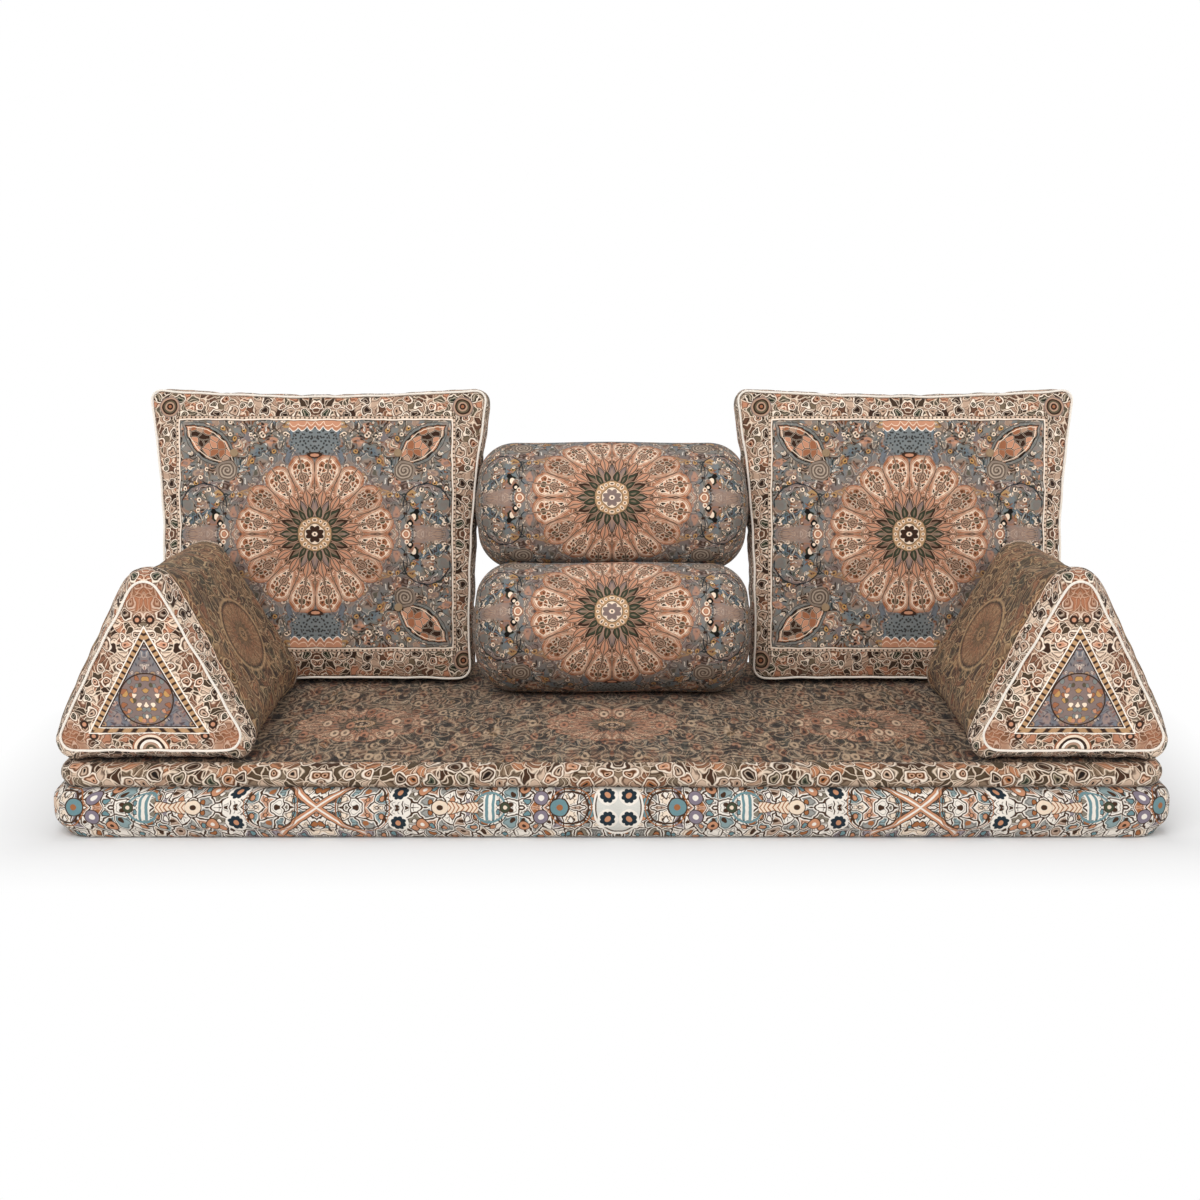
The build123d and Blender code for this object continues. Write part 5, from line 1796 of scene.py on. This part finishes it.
class SOFA_OT_materials(Operator):
    """Makes the cloths, cord, stuffing and zip finishes, and gives the construction nodes theirs"""
    bl_idname = "sofa.materials"
    bl_label = "Materials"

    def execute(self, context):
        c = context.scene.sofa_colours
        make_nap()
        for make in (make_field, make_scrollwork, make_medallion, make_carpet):
            make(c)
        for name, paint, contrast in (
                ("cushion_cloth", cushion_print, CONTRAST), ("gusset_cloth", gusset_print, CONTRAST),
                ("bolster_cloth", bolster_print, CONTRAST), ("armrest_cloth", wrap_print, CONTRAST),
                ("armrest_end_cloth", end_print, CONTRAST), ("mattress_cloth", seat_print, CONTRAST),
                ("lip_cloth", lip_print, 1.0), ("boxing_cloth", band_print, 1.0),
                ("lining_cloth", lining_print, CONTRAST), ("piping_cord", piping_print, CONTRAST)):
            cloth_material(name, paint, c, contrast)
        grained_material("fibre_fill", c.ivory, c.cream, (90, 90, 400))
        grained_material("foam", c.cream, c.tan, (450, 450, 450))
        grained_material("zip_tape", c.brown, c.black, (1300, 1300, 1300))
        grained_material("zip_metal", c.ochre, c.clay, (60, 900, 900), 0.35, 1.0)
        grained_material("button_cloth", c.button, c.brown, (1200, 1200, 1200))
        grained_material("twine", c.cream, c.tan, (1500, 300, 1500))
        for node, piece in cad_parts.items():
            for ending, finish in (
                    ("zip_tape", "zip_tape"), ("zip_slider", "zip_metal"), ("zip_pull", "zip_metal"),
                    ("tuft_buttons", "button_cloth"), ("tuft_twine", "twine")):
                if node.endswith(ending):
                    piece.data.materials.clear()
                    piece.data.materials.append(MATERIALS[finish])
        return {"FINISHED"}


class SOFA_OT_stage(Operator):
    """Makes the camera, the pale floor and the soft lights"""
    bl_idname = "sofa.stage"
    bl_label = "Stage"

    def execute(self, context):
        scene = context.scene
        settings = scene.sofa_stage
        scene.view_settings.view_transform = "Standard"
        lens = bpy.data.cameras.new("camera")
        lens.lens = settings.lens
        lens.sensor_width = 36
        lens.shift_x = -0.01
        camera = bpy.data.objects.new("camera", lens)
        camera.location = settings.eye
        camera.rotation_euler = (math.pi / 2 - settings.pitch, 0, 0)
        scene.collection.objects.link(camera)
        scene.camera = camera

        bpy.ops.mesh.primitive_circle_add(vertices=96, radius=14, fill_type="NGON", location=(0, 0, 0))
        floor = context.object
        floor.name = "floor"
        self.paint_floor()
        floor.data.materials.append(MATERIALS["floor_paint"])

        scene.world = bpy.data.worlds.new("surroundings")
        scene.world.use_nodes = True
        net = Net(scene.world.node_tree)
        ground = net.fill(net.tree.nodes["Background"],
                          {"Color": (0.97, 0.985, 1.0), "Strength": settings.ambient})
        white = net.add("ShaderNodeBackground", {"Color": (1, 1, 1)})
        path = net.node("ShaderNodeLightPath")
        rays = [net.out(path, f"Is {kind} Ray") for kind in ("Camera", "Glossy", "Transmission")]
        seen = rays[0].most(rays[1]).most(rays[2])
        choice = net.add("ShaderNodeMixShader", {0: seen, 1: net.out(ground), 2: white})
        net.fill(net.tree.nodes["World Output"], {"Surface": choice})

        for name, power, size, spot in (("key", settings.key_power, 3.2, (-1.4, -3.2, 3.4)),
                                        ("fill", settings.fill_power, 2.5, (3.0, -1.5, 2.2))):
            lamp = bpy.data.lights.new(name, "AREA")
            lamp.energy = power
            lamp.size = size
            light = bpy.data.objects.new(name, lamp)
            light.location = spot
            light.rotation_euler = (LIGHTS_AIM - Vector(spot)).to_track_quat("-Z", "Y").to_euler()
            scene.collection.objects.link(light)
        return {"FINISHED"}

    def paint_floor(self):
        """Pale paint that turns to plain white light away from the sofa, by the distance from it.

        The paint is greyer than that white, which gives painted shade round the sofa on top of its real
        contact shadow.
        """
        net, shader = new_finish("floor_paint")
        # Greyer than the white light beyond: painted shade round the sofa
        net.fill(shader, {"Base Color": (0.86, 0.86, 0.86), "Roughness": 0.95})
        x, y = net.parts(net.add("ShaderNodeTexCoord", (), "Object"))
        gap = net.length(net.join((x.size() - 0.95).most(0.0), (y.size() - 0.40).most(0.0)))
        glow = net.add("ShaderNodeEmission", {"Strength": 1.0})
        share = gap.over(0.0, 0.25) ** 0.6
        blend = net.add("ShaderNodeMixShader", {0: share, 1: net.out(shader), 2: glow})
        net.fill(net.tree.nodes["Material Output"], {0: blend})


class SOFA_PT_panel(Panel):
    """The sidebar panel: a button for each step, and the settings."""
    bl_label = "Majlis floor sofa"
    bl_space_type = "VIEW_3D"
    bl_region_type = "UI"
    bl_category = "Sofa"

    def draw(self, context):
        for name in STEPS:
            self.layout.operator(name)
        for group in (context.scene.sofa_shape, context.scene.sofa_colours, context.scene.sofa_stage):
            box = self.layout.box()
            for name in group.__annotations__:
                box.prop(group, name)


STEPS = ("sofa.stage", "sofa.materials", "sofa.mattress", "sofa.back_cushions", "sofa.bolsters",
         "sofa.armrests")
CLASSES = (SofaShape, PrintColours, StageSettings, SOFA_OT_stage, SOFA_OT_materials, SOFA_OT_mattress,
           SOFA_OT_back_cushions, SOFA_OT_bolsters, SOFA_OT_armrests, SOFA_PT_panel)


def register():
    for item in CLASSES:
        bpy.utils.register_class(item)
    bpy.types.Scene.sofa_shape = PointerProperty(type=SofaShape)
    bpy.types.Scene.sofa_colours = PointerProperty(type=PrintColours)
    bpy.types.Scene.sofa_stage = PointerProperty(type=StageSettings)


def unregister():
    del bpy.types.Scene.sofa_shape
    del bpy.types.Scene.sofa_colours
    del bpy.types.Scene.sofa_stage
    for item in reversed(CLASSES):
        bpy.utils.unregister_class(item)


def main():
    register()
    for name in STEPS:
        group, step = name.split(".")
        getattr(getattr(bpy.ops, group), step)()


if __name__ == "__main__":
    main()
